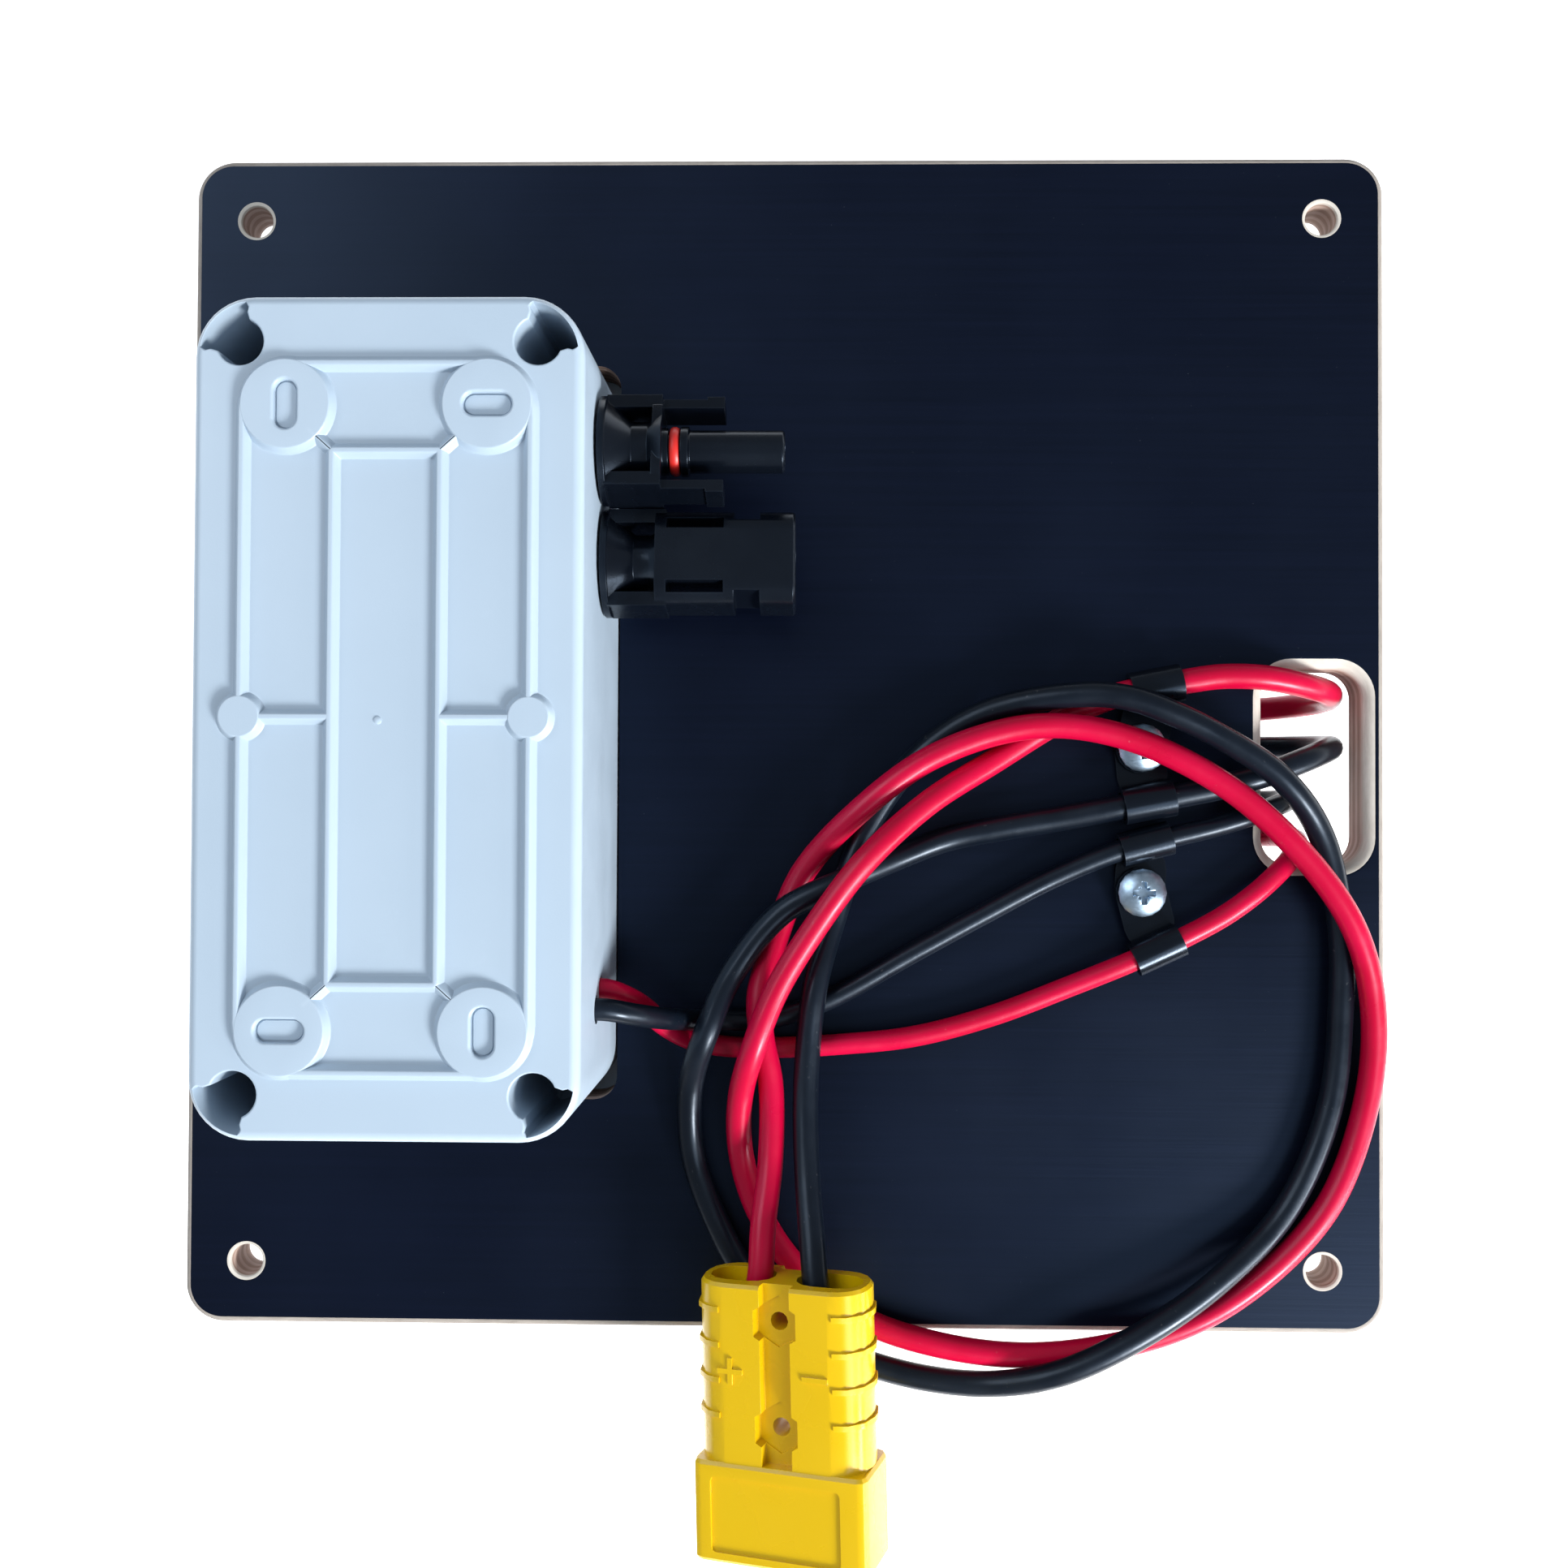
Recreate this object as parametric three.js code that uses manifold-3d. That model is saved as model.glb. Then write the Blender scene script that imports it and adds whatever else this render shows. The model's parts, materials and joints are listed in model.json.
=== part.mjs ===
// A solar regulator board seen from its back: a plywood board with a breaker box through it, two panel
// connectors, wire clips, four leads and a two-pole battery plug. Millimetres, +Z up, lying face down:
// z = 0 is the surface that the box's cover and the regulator rest on. X is the board's long side.
import * as THREE from 'three';
import { mergeVertices } from 'three/addons/utils/BufferGeometryUtils.js';
import Module from 'manifold-3d';

const wasm = await Module();
wasm.setup();

// ---- driving dimensions ----
const GAP = 0.3; // between neighbouring pieces
const BOARD = { width: 250, height: 245, front: 40, back: 52, corner: 8, chamfer: 1.3 };
const BOARD_HOLE = { radius: 3.25, x: 112, y: 109.5, chamfer: 0.8 };
const SLOT = { x: 110.35, y: -5.2, width: 20.9, height: 40.8, corner: 5.8, rim: 2.7 };

const BOX = {
  x: -70.5, y: 1.7, width: 70.8, height: 152.4, corner: 11, fillet: 2, back: 100.4, draft: 0.3,
  wall: 2.5, flangeWidth: 92, flangeHeight: 172, flangeCorner: 14, flangeFront: 37,
};
const RIB = { width: 2.2, top: 102, frameX: 26, frameY: 63.5, corner: 8.5, innerX: 9.75, innerY: 47.8 };
const BOSS = { radius: 8.5, x: 18.2, y: 56.1, slotLong: 8.9, slotShort: 4.2, slotDepth: 1.5 };
const PAD_RADIUS = 4;
const POCKET = { inset: 11, depth: 38, arc: 9.9, throat: 4.3, throatAt: 3.7, cuspAngle: 0.62 };
const COLUMN = { x: 14, y: 15 }; // solid corner blocks that hold the pockets and the cover screws
const LEAD_HOLES = [[-53, 80], [-49.8, 74]]; // [y, z] of the holes in the box's side for the solar leads

const COVER = { rim: 35.4, wall: 2.5, edge: 2, wellX: 31, wellY: 44, wellFloor: 22.5, wellWall: 2 };
const DOOR = { gap: 0.4, back: 3.6, front: 1.2, hingeInset: 2.4, barrel: 2.1, pin: 0.9, pinHole: 1.2 };
const COVER_SCREW = { x: 28, y: 68, head: 3.4, headTop: 3, headBase: 6, shank: 1.6, tip: 52 };
const FLANGE_SCREW = { x: 40.2, y: 50, head: 2.8, shank: 1.5, tip: 49 };

const BREAKER = {
  halfX: 17.7, halfY: 42.5, halfNose: 22.5, nose: 20.5, shoulder: 36.5, back: 80.2,
  poleX: 9, poleZ: 58, poleHole: 3.2, poleDepth: 12,
};
const TOGGLE = { z: 24.5, drum: 5.5, length: 28, lever: 12, thick: 3, angle: 40 };
const RAIL = { halfX: 26, halfY: 17.5, front: 80.5, back: 88, thick: 1, hatHalf: 12.5, screwX: 19 };

const CONNECTOR = { x: -34.5, flange: 10.5, thread: 6, tail: -41.8, nut: 8.2 };
const MALE = { y: 54.3, z: 79, roll: 17, tubeEnd: 0.6, tube: 4.1, barEnd: -22.8, armEnd: -11 };
const FEMALE = { y: 33.35, z: 74, roll: 8, end: 2.65, halfWidth: 9.45, halfHeight: 7.3, mouth: 4.6 };

const THICK_LEAD = 2.6; // radius of the battery leads
const THIN_LEAD = 2.18; // radius of the solar leads
const CLIP = { width: 10.5, strap: 1, clear: 0.4, bottom: BOARD.back + GAP, lowTab: 52.3, highTab: 53.8 };
const CLIP_SCREW = { y: [-1.5, -31.3], x: 74, head: 5, shank: 2, under: 55.3, tip: 43.5 };
const CLIPS = [
  { lead: [76.6, 10.9], angle: 11, radius: THICK_LEAD, screw: 0, tab: 'highTab' },
  { lead: [75, -12.6], angle: 11, radius: THICK_LEAD, screw: 0, tab: 'lowTab' },
  { lead: [74.6, -21.3], angle: 15, radius: THIN_LEAD, screw: 1, tab: 'lowTab' },
  { lead: [77, -43], angle: 25, radius: THIN_LEAD, screw: 1, tab: 'highTab' },
];

const REGULATOR = {
  x0: -17, x1: 83, y0: -59.5, y1: 45.5, cover: 37.1, wall: 2.2, corner: 6,
  plateFront: 37.4, plateOver: 6.5, screwX: [-8, 74], screwY: [-62.6, 48.6], leadZ: 19,
};
const TERMINAL = { x0: 62, x1: 78, y0: -27, y1: 15, front: 12, back: 26.7, depth: 70, hole: 3 };
const TERMINAL_Y = [8, 0, -12, -20];
const POST = { radius: 3, front: 28.9 }; // stand-offs that hold the circuit board

const PLUG = {
  x: 1.5, y: -106.5, z: 69.7, roll: -19, yaw: 1.5, width: 34.5, thick: 15.2, rear: 34.6, length: 54,
  headWidth: 35.6, headThick: 16, corner: 6.6, channel: 6.2, channelDepth: 2.6, mouthX: 9, gripX: 11.6,
};

// routes of the leads, from the terminal or the breaker outwards
const ROUTES = {
  battery_positive: [
    [70.5, 8, 19], [84, 8, 19], [99, 8.3, 19], [108.3, 8.8, 21.5], [115, 9.3, 28.3], [117.5, 9.8, 37.5],
    [115, 10.6, 46.7], [108.3, 11.6, 53.5], [99, 13, 56.2], [90, 13.2, 56.3], [83.5, 12.3, 56.3],
    [76.6, 10.9, 56.3], [69.5, 9.5, 56.3], [61, 6.3, 55.5], [54.5, 2.6, 55.2], [44, -4, 57],
    [29, -13.5, 62.8], [16.5, -25, 66.6], [6.5, -38.5, 66],
    [-1, -51, 65.8], [-5.3, -62, 65.4], [-8.2, -73, 60.5], [-8.3, -85, 56], [-5, -96.5, 55],
    [2, -107.5, 55], [15, -118.3, 55.2], [32, -124.2, 55.3], [53.5, -126.2, 55.2], [78.5, -121.5, 55.1],
    [95.5, -112.5, 55], [112, -95.5, 55], [120.3, -72.5, 55], [120.5, -53, 57.2], [115, -37, 61],
    [103, -21, 62], [87.5, -8, 61.9], [67.5, 1, 61.3], [50.5, 2.5, 61], [31, -3.5, 61], [16, -14.5, 59.8],
    [4, -28, 55.1], [-1.5, -42, 56], [-4.5, -52, 60], [-4, -60.5, 60], [-2, -71, 60], [-2, -85.5, 61.8],
    [-3.3, -97.5, 65.4], [-3.8, -107, 67.2], [-5.4, -115, 67], [-6.8, -124.6, 66.8],
  ],
  battery_negative: [
    [70.5, 0, 19], [84, 0, 19], [99, 0, 19], [108.3, 0, 21.5], [115, -0.2, 28.3], [117.5, -0.5, 37.5],
    [115.3, -1.2, 46.3], [108.8, -3.4, 53.3], [99.5, -6.8, 56.2], [90, -9.5, 56.3],
    [82, -11.2, 56.3], [75, -12.6, 56.3], [68, -14, 56.3], [58, -16, 55.3], [46.5, -18, 55],
    [34, -20.5, 55], [24, -24.2, 57], [12.5, -29, 60.9],
    [0, -35.5, 60.9], [-10, -48, 61.2], [-15, -59.5, 64.4], [-18.5, -71.5, 58.6], [-18.2, -85.5, 55.1],
    [-13.5, -99, 55], [-5.5, -112.5, 55], [8, -124, 55], [24, -130, 55], [41, -131.8, 56.3],
    [55, -128.6, 60.2], [68.5, -122.5, 61], [87.5, -111, 58.5], [103.5, -96, 55.2], [112.5, -75, 55],
    [114.8, -54.5, 55], [114.6, -37.5, 55.2], [110.5, -20, 57], [101, -8, 61.9], [87.5, 1, 62.6],
    [79, 5, 63.3], [70, 8.2, 63.2], [60, 9, 61.4], [41.5, 5.5, 57], [28, -3.5, 55], [17, -19, 55.1],
    [10.5, -37.5, 55.3],
    [7, -50, 59.6], [5.5, -62.5, 60], [5, -75, 61], [5.5, -88.5, 64], [6.5, -99.5, 69],
    [7.2, -107, 71.2], [8.9, -115, 72], [10.5, -124.3, 72.4],
  ],
  solar_negative: [
    [-79.5, -34.5, 58], [-79.5, -42, 58.5], [-78.2, -48.5, 62.5], [-73, -53, 69.5], [-63, -54.5, 76.5],
    [-52, -53.2, 79.9], [-42, -53, 80], [-33, -53, 80], [-28, -54.3, 76.7], [-23.3, -56, 69],
    [-19.3, -57.3, 61], [-13, -58, 56], [-3, -57.8, 54.8], [9, -54, 54.7], [27, -44, 54.7],
    [41.5, -36, 54.7], [56, -28.3, 55], [69, -22.8, 55.9], [74.6, -21.3, 55.9], [80.2, -19.8, 55.9],
    [89, -17.6, 55.7], [96.5, -15.3, 55.1], [103.2, -13, 51.9], [107.2, -12, 45.5], [108.3, -12, 38.5],
    [106, -12, 30], [99.5, -12, 22.5], [90, -12, 19.2], [80, -12, 19], [70.5, -12, 19],
  ],
  solar_positive: [
    [-61.5, -34.5, 58], [-61.5, -41.5, 58.4], [-59.5, -46.6, 62], [-55, -49, 68], [-49, -49.8, 73],
    [-42, -49.8, 74], [-34.2, -49.8, 74], [-30.2, -51.8, 69.8], [-27.3, -54.7, 64], [-23.5, -59.2, 58],
    [-18, -62.4, 55.2], [-10, -63.7, 54.7], [0, -63.7, 54.7], [12, -63, 54.7], [27, -61.3, 54.7],
    [43, -57, 54.7], [59.5, -50.6, 55], [71.6, -45.5, 55.9], [77, -43, 55.9], [82.4, -40.5, 55.9],
    [91, -35.8, 55.8], [98.5, -30.2, 55.6], [104.7, -24.4, 53.9], [108, -21, 48], [109, -20, 39.5],
    [106.5, -20, 30], [100, -20, 22.7], [90.5, -20, 19.2], [80, -20, 19], [70.5, -20, 19],
  ],
  inlet_positive: [
    [-42.2, 54.3, 79], [-50, 54.8, 79.2], [-62, 57, 77.5], [-72, 58.5, 72], [-78, 57.5, 65],
    [-79.5, 53, 59.5], [-79.5, 48, 58], [-79.5, 43, 58], [-79.5, 36, 58],
  ],
  inlet_negative: [
    [-42.4, 33.35, 74], [-44.3, 33.4, 74], [-47.4, 35.4, 74], [-48.8, 40.3, 74], [-49.2, 47, 72.6],
    [-50.6, 52.5, 69.6], [-54, 56.4, 65], [-58.6, 56.6, 60.4], [-61.2, 53, 58.3], [-61.5, 48.5, 58],
    [-61.5, 43, 58], [-61.5, 36, 58],
  ],
};

// ---- helpers ----
const MERGE = 1e-4;
const DEGREE = Math.PI / 180;

/** A closed manifold solid from any closed three.js geometry. */
function solid(geometry) {
  const bare = geometry.clone();
  for (const name of Object.keys(bare.attributes)) {
    if (name !== 'position') bare.deleteAttribute(name);
  }
  const merged = mergeVertices(bare, MERGE);
  const at = merged.getAttribute('position');
  const corner = [0, 1, 2].map(() => new THREE.Vector3());
  const kept = [];
  let volume = 0;
  for (let i = 0; i < merged.index.count; i += 3) {
    const tri = [0, 1, 2].map((j) => merged.index.getX(i + j));
    if (tri[0] === tri[1] || tri[1] === tri[2] || tri[0] === tri[2]) continue;
    kept.push(tri);
    tri.forEach((v, j) => corner[j].fromBufferAttribute(at, v));
    volume += corner[0].dot(corner[1].cross(corner[2]));
  }
  if (volume < 0) kept.forEach((tri) => tri.reverse());
  return new wasm.Manifold(new wasm.Mesh({
    numProp: 3,
    vertProperties: new Float32Array(at.array),
    triVerts: new Uint32Array(kept.flat()),
  }));
}

const join = (...bodies) => bodies.reduce((all, body) => all.add(body));
const cut = (body, ...tools) => tools.reduce((left, tool) => left.subtract(tool), body);

/** Points of a rounded rectangle, counter-clockwise. */
function roundRect(width, height, radius, x = 0, y = 0, steps = 4) {
  const points = [];
  const signs = [[1, 1], [-1, 1], [-1, -1], [1, -1]];
  signs.forEach(([sx, sy], quarter) => {
    for (let i = 0; i <= steps; i += 1) {
      const angle = (quarter + i / steps) * Math.PI / 2;
      points.push(new THREE.Vector2(
        x + sx * (width / 2 - radius) + radius * Math.cos(angle),
        y + sy * (height / 2 - radius) + radius * Math.sin(angle),
      ));
    }
  });
  return points;
}

/** Points of a circle, counter-clockwise. */
function ring(radius, x = 0, y = 0, sides = 20) {
  return Array.from({ length: sides }, (_, i) => {
    const angle = i / sides * 2 * Math.PI;
    return new THREE.Vector2(x + radius * Math.cos(angle), y + radius * Math.sin(angle));
  });
}

/** A closed solid through a stack of [outline, z] levels whose outlines have equally many points. */
function loft(levels) {
  const count = levels[0][0].length;
  const positions = levels.flatMap(([outline, z]) => outline.flatMap((p) => [p.x, p.y, z]));
  const index = [];
  for (let level = 0; level < levels.length - 1; level += 1) {
    for (let i = 0; i < count; i += 1) {
      const a = level * count + i;
      const b = level * count + (i + 1) % count;
      index.push(a, b, b + count, a, b + count, a + count);
    }
  }
  const top = (levels.length - 1) * count;
  for (const [a, b, c] of THREE.ShapeUtils.triangulateShape(levels[0][0], [])) index.push(a, c, b);
  for (const [a, b, c] of THREE.ShapeUtils.triangulateShape(levels.at(-1)[0], [])) {
    index.push(top + a, top + b, top + c);
  }
  const geometry = new THREE.BufferGeometry();
  geometry.setAttribute('position', new THREE.Float32BufferAttribute(positions, 3));
  geometry.setIndex(index);
  return geometry;
}

const prism = (outline, z0, z1) => loft([[outline, z0], [outline, z1]]);
const disc = (radius, x, y, z0, z1, sides = 20) => prism(ring(radius, x, y, sides), z0, z1);

/** A box between two corners. */
function block(x0, x1, y0, y1, z0, z1) {
  const geometry = new THREE.BoxGeometry(x1 - x0, y1 - y0, z1 - z0);
  return geometry.translate((x0 + x1) / 2, (y0 + y1) / 2, (z0 + z1) / 2);
}

/** A turned solid with its axis along +Z through (x, y), from [radius, z] pairs. */
function turned(profile, x = 0, y = 0, sides = 20) {
  const points = profile.map(([radius, z]) => new THREE.Vector2(radius, z));
  return new THREE.LatheGeometry(points, sides).rotateX(Math.PI / 2).translate(x, y, 0);
}

/** Turns geometry made along +Z so that it lies along +X, with local x along Y and local y along Z. */
const ALONG_X = new THREE.Matrix4().makeBasis(
  new THREE.Vector3(0, 1, 0), new THREE.Vector3(0, 0, 1), new THREE.Vector3(1, 0, 0),
);
const alongX = (geometry) => geometry.clone().applyMatrix4(ALONG_X);

/** The tube of a lead along its route. */
function tube(route, radius, steps, sides = 8) {
  const points = route.map((p) => new THREE.Vector3(...p));
  const extrudePath = new THREE.CatmullRomCurve3(points, false, 'centripetal');
  return new THREE.ExtrudeGeometry(new THREE.Shape(ring(radius, 0, 0, sides)), {
    steps, extrudePath, bevelEnabled: false,
  });
}

const part = new THREE.Group();
const paint = (color, roughness, metalness = 0) => ({ color, roughness, metalness });
const LOOKS = {
  film: paint(0x14171f, 0.5),
  greyPlastic: paint(0xc9d8e6, 0.5),
  clearPlastic: paint(0xbfd4dc, 0.15),
  blackPlastic: paint(0x16191e, 0.35),
  blackInsulation: paint(0x23292f, 0.5),
  redInsulation: paint(0xc8102e, 0.45),
  redRubber: paint(0xd22b26, 0.5),
  blackRubber: paint(0x1b1d20, 0.8),
  yellowPlastic: paint(0xf2c200, 0.4),
  zinc: paint(0xb9c4d0, 0.3, 1),
  copper: paint(0xc8a27c, 0.3, 1),
  aluminium: paint(0xa9afb5, 0.4, 1),
  whitePlastic: paint(0xe4e5e2, 0.45),
  greenBoard: paint(0x1f5a34, 0.5),
  darkCover: paint(0x2f3a46, 0.5),
  bluePlastic: paint(0x2a4f7a, 0.4),
};

/** Adds a named sub-part, from a manifold solid or from a geometry, and returns its mesh. */
function add(name, shape, look) {
  const body = shape.isBufferGeometry ? solid(shape) : shape;
  const found = body.getMesh();
  const geometry = new THREE.BufferGeometry();
  const count = found.vertProperties.length / found.numProp;
  const position = new Float32Array(count * 3);
  for (let i = 0; i < count; i += 1) {
    for (let j = 0; j < 3; j += 1) position[3 * i + j] = found.vertProperties[i * found.numProp + j];
  }
  geometry.setAttribute('position', new THREE.BufferAttribute(position, 3));
  geometry.setIndex(new THREE.BufferAttribute(new Uint32Array(found.triVerts), 1));
  const mesh = new THREE.Mesh(geometry, new THREE.MeshStandardMaterial(LOOKS[look]));
  mesh.name = name;
  part.add(mesh);
  return mesh;
}

// ---- mounting board ----
function boardOutline(inset) {
  const { width, height, corner } = BOARD;
  return roundRect(width - 2 * inset, height - 2 * inset, corner - inset);
}

function slotCutter() {
  const rim = (angle) => {
    const flare = SLOT.rim * (1 - Math.cos(angle));
    return roundRect(SLOT.width + 2 * flare, SLOT.height + 2 * flare, SLOT.corner + flare, SLOT.x, SLOT.y);
  };
  const angles = [0, 45, 90].map((a) => a * DEGREE);
  const rise = (angle) => SLOT.rim * Math.sin(angle);
  const front = angles.map((a) => [rim(a), BOARD.front + SLOT.rim - rise(a)]).reverse();
  const back = angles.map((a) => [rim(a), BOARD.back - SLOT.rim + rise(a)]);
  const widest = rim(angles.at(-1));
  return loft([[widest, BOARD.front - 1], ...front, ...back, [widest, BOARD.back + 1]]);
}

function boardHole(x, y) {
  const { radius, chamfer } = BOARD_HOLE;
  const wide = radius + chamfer;
  return turned([
    [0, BOARD.front - 1], [wide, BOARD.front - 1], [wide, BOARD.front], [radius, BOARD.front + chamfer],
    [radius, BOARD.back - chamfer], [wide, BOARD.back], [wide, BOARD.back + 1], [0, BOARD.back + 1],
  ], x, y, 16);
}

function mountingBoard() {
  const { front, back, chamfer } = BOARD;
  const plate = solid(loft([
    [boardOutline(chamfer), front], [boardOutline(0), front + chamfer],
    [boardOutline(0), back - chamfer], [boardOutline(chamfer), back],
  ]));
  const clear = 0.4; // between the box and its cut-out
  const side = BOX.width + 2 * BOX.draft + 2 * clear;
  const end = BOX.height + 2 * BOX.draft + 2 * clear;
  const tools = [
    prism(roundRect(side, end, 5, BOX.x, BOX.y), front - 1, back + 1),
    slotCutter(),
  ];
  for (const sx of [-1, 1]) {
    for (const sy of [-1, 1]) {
      tools.push(boardHole(sx * BOARD_HOLE.x, sy * BOARD_HOLE.y));
      const [x, y] = [BOX.x + sx * FLANGE_SCREW.x, BOX.y + sy * FLANGE_SCREW.y];
      tools.push(disc(FLANGE_SCREW.shank + GAP, x, y, front - 1, FLANGE_SCREW.tip + GAP, 8));
    }
  }
  for (const y of CLIP_SCREW.y) {
    tools.push(disc(CLIP_SCREW.shank + GAP, CLIP_SCREW.x, y, CLIP_SCREW.tip - GAP, back + 1, 12));
  }
  for (const x of REGULATOR.screwX) {
    for (const y of REGULATOR.screwY) {
      tools.push(disc(FLANGE_SCREW.shank + GAP, x, y, front - 1, FLANGE_SCREW.tip + GAP, 8));
    }
  }
  add('mounting_board', cut(plate, ...tools.map(solid)), 'film');
}

// ---- breaker box ----
/** The outline of a corner pocket: a round throat that opens into a lobe along the box's corner. */
function pocketOutline(sx, sy) {
  const cx = BOX.width / 2 - POCKET.inset;
  const cy = BOX.height / 2 - POCKET.inset;
  const half = [];
  for (let i = 0; i <= 5; i += 1) { // outer arc from the diagonal to the cusp
    const angle = POCKET.cuspAngle * i / 5;
    half.push([POCKET.arc * Math.cos(angle), POCKET.arc * Math.sin(angle)]);
  }
  const tip = half.at(-1);
  half.push([tip[0] - 1, tip[1] - 0.3], [tip[0] - 1.5, tip[1] - 1.1]);
  for (let i = 0; i <= 5; i += 1) { // round throat
    const angle = Math.PI * (0.38 + 0.62 * i / 5);
    half.push([
      POCKET.throatAt + POCKET.throat * Math.cos(angle), POCKET.throat * Math.sin(angle),
    ]);
  }
  const mirrored = half.slice(1, -1).reverse().map(([s, t]) => [s, -t]);
  const points = [...half, ...mirrored].map(([s, t]) => new THREE.Vector2(
    BOX.x + sx * (cx + (s - t) * Math.SQRT1_2), BOX.y + sy * (cy + (s + t) * Math.SQRT1_2),
  ));
  return sx * sy > 0 ? points : points.reverse();
}

function boxOutline(grow, corner = BOX.corner) {
  return roundRect(BOX.width + 2 * grow, BOX.height + 2 * grow, corner + grow, BOX.x, BOX.y);
}

function boxRibs() {
  const { width, top, frameX, frameY, corner, innerX, innerY } = RIB;
  const low = BOX.back - 0.5;
  const bars = [];
  const outer = roundRect(2 * frameX + width, 2 * frameY + width, corner + width / 2, BOX.x, BOX.y);
  const hole = roundRect(2 * frameX - width, 2 * frameY - width, corner - width / 2, BOX.x, BOX.y);
  bars.push(cut(solid(prism(outer, low, top)), solid(prism(hole, low - 1, top + 1))));
  const bar = (x0, x1, y0, y1) => bars.push(
    solid(block(BOX.x + x0, BOX.x + x1, BOX.y + y0, BOX.y + y1, low, top)),
  );
  const half = width / 2;
  for (const s of [-1, 1]) {
    bar(s * innerX - half, s * innerX + half, -innerY - half, innerY + half);
    bar(-innerX, innerX, s * innerY - half, s * innerY + half);
    bar(Math.min(s * innerX, s * frameX), Math.max(s * innerX, s * frameX), -half, half);
    bars.push(solid(disc(PAD_RADIUS, BOX.x + s * frameX, BOX.y, low, top)));
    for (const t of [-1, 1]) {
      const long = Math.hypot(BOSS.x - innerX, BOSS.y - innerY);
      const angle = Math.atan2(t * (BOSS.y - innerY), s * (BOSS.x - innerX));
      const stay = block(0, long, -half * 0.8, half * 0.8, low, top).rotateZ(angle);
      bars.push(solid(stay.translate(BOX.x + s * innerX, BOX.y + t * innerY, 0)));
      bars.push(solid(disc(BOSS.radius, BOX.x + s * BOSS.x, BOX.y + t * BOSS.y, low, top, 20)));
    }
  }
  return bars;
}

function bossSlot(sx, sy) {
  const upright = sx * sy < 0; // the slots of neighbouring bosses are at right angles
  const [w, h] = upright ? [BOSS.slotShort, BOSS.slotLong] : [BOSS.slotLong, BOSS.slotShort];
  const outline = roundRect(w, h, BOSS.slotShort / 2, BOX.x + sx * BOSS.x, BOX.y + sy * BOSS.y, 3);
  return prism(outline, RIB.top - BOSS.slotDepth, RIB.top + 1);
}

function boxBase() {
  const { back, fillet, draft, flangeFront, wall } = BOX;
  const levels = [
    [boxOutline(draft), flangeFront], [boxOutline(draft), BOARD.back],
    [boxOutline(0), back - fillet],
  ];
  for (const a of [45, 90]) {
    const inset = fillet * (1 - Math.cos(a * DEGREE));
    levels.push([boxOutline(-inset), back - fillet + fillet * Math.sin(a * DEGREE)]);
  }
  const flange = roundRect(BOX.flangeWidth, BOX.flangeHeight, BOX.flangeCorner, BOX.x, BOX.y);
  const shell = join(
    solid(loft(levels)),
    solid(prism(flange, flangeFront, BOARD.front - GAP)),
    ...boxRibs(),
  );
  const [halfX, halfY] = [BOX.width / 2 - wall, BOX.height / 2 - wall];
  const [inX, inY] = [BOX.width / 2 - COLUMN.x, BOX.height / 2 - COLUMN.y];
  const hollow = (x, y) => block(
    BOX.x - x, BOX.x + x, BOX.y - y, BOX.y + y, flangeFront - 1, back - wall,
  );
  const tools = [hollow(halfX, inY), hollow(inX, halfY)];
  for (const sx of [-1, 1]) {
    for (const sy of [-1, 1]) {
      tools.push(prism(pocketOutline(sx, sy), back - POCKET.depth, RIB.top + 1));
      tools.push(bossSlot(sx, sy));
      tools.push(disc(
        COVER_SCREW.shank + GAP, BOX.x + sx * COVER_SCREW.x, BOX.y + sy * COVER_SCREW.y,
        flangeFront - 1, COVER_SCREW.tip + GAP, 10,
      ));
      tools.push(disc(
        FLANGE_SCREW.shank + GAP, BOX.x + sx * FLANGE_SCREW.x, BOX.y + sy * FLANGE_SCREW.y,
        flangeFront - 1, BOARD.front, 10,
      ));
    }
  }
  const inner = BOX.x + BOX.width / 2 - wall - 1;
  const outer = BOX.x + BOX.width / 2 + 1;
  for (const { y, z } of [MALE, FEMALE]) {
    tools.push(alongX(disc(CONNECTOR.thread + GAP, y, z, inner, outer)));
  }
  for (const [y, z] of LEAD_HOLES) {
    tools.push(alongX(disc(THIN_LEAD + 0.6, y, z, inner, outer, 16)));
  }
  const railPosts = [-1, 1].map((s) => solid(disc(
    5, BOX.x + s * RAIL.screwX, BOX.y, RAIL.back + GAP, back - 1, 16,
  )));
  const railHoles = [-1, 1].map((s) => solid(disc(
    1.5 + GAP, BOX.x + s * RAIL.screwX, BOX.y, RAIL.back - 1, RAIL.back + 8, 10,
  )));
  const open = cut(shell, ...tools.map(solid));
  add('enclosure_base', cut(join(open, ...railPosts), ...railHoles), 'greyPlastic');
}

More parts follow.
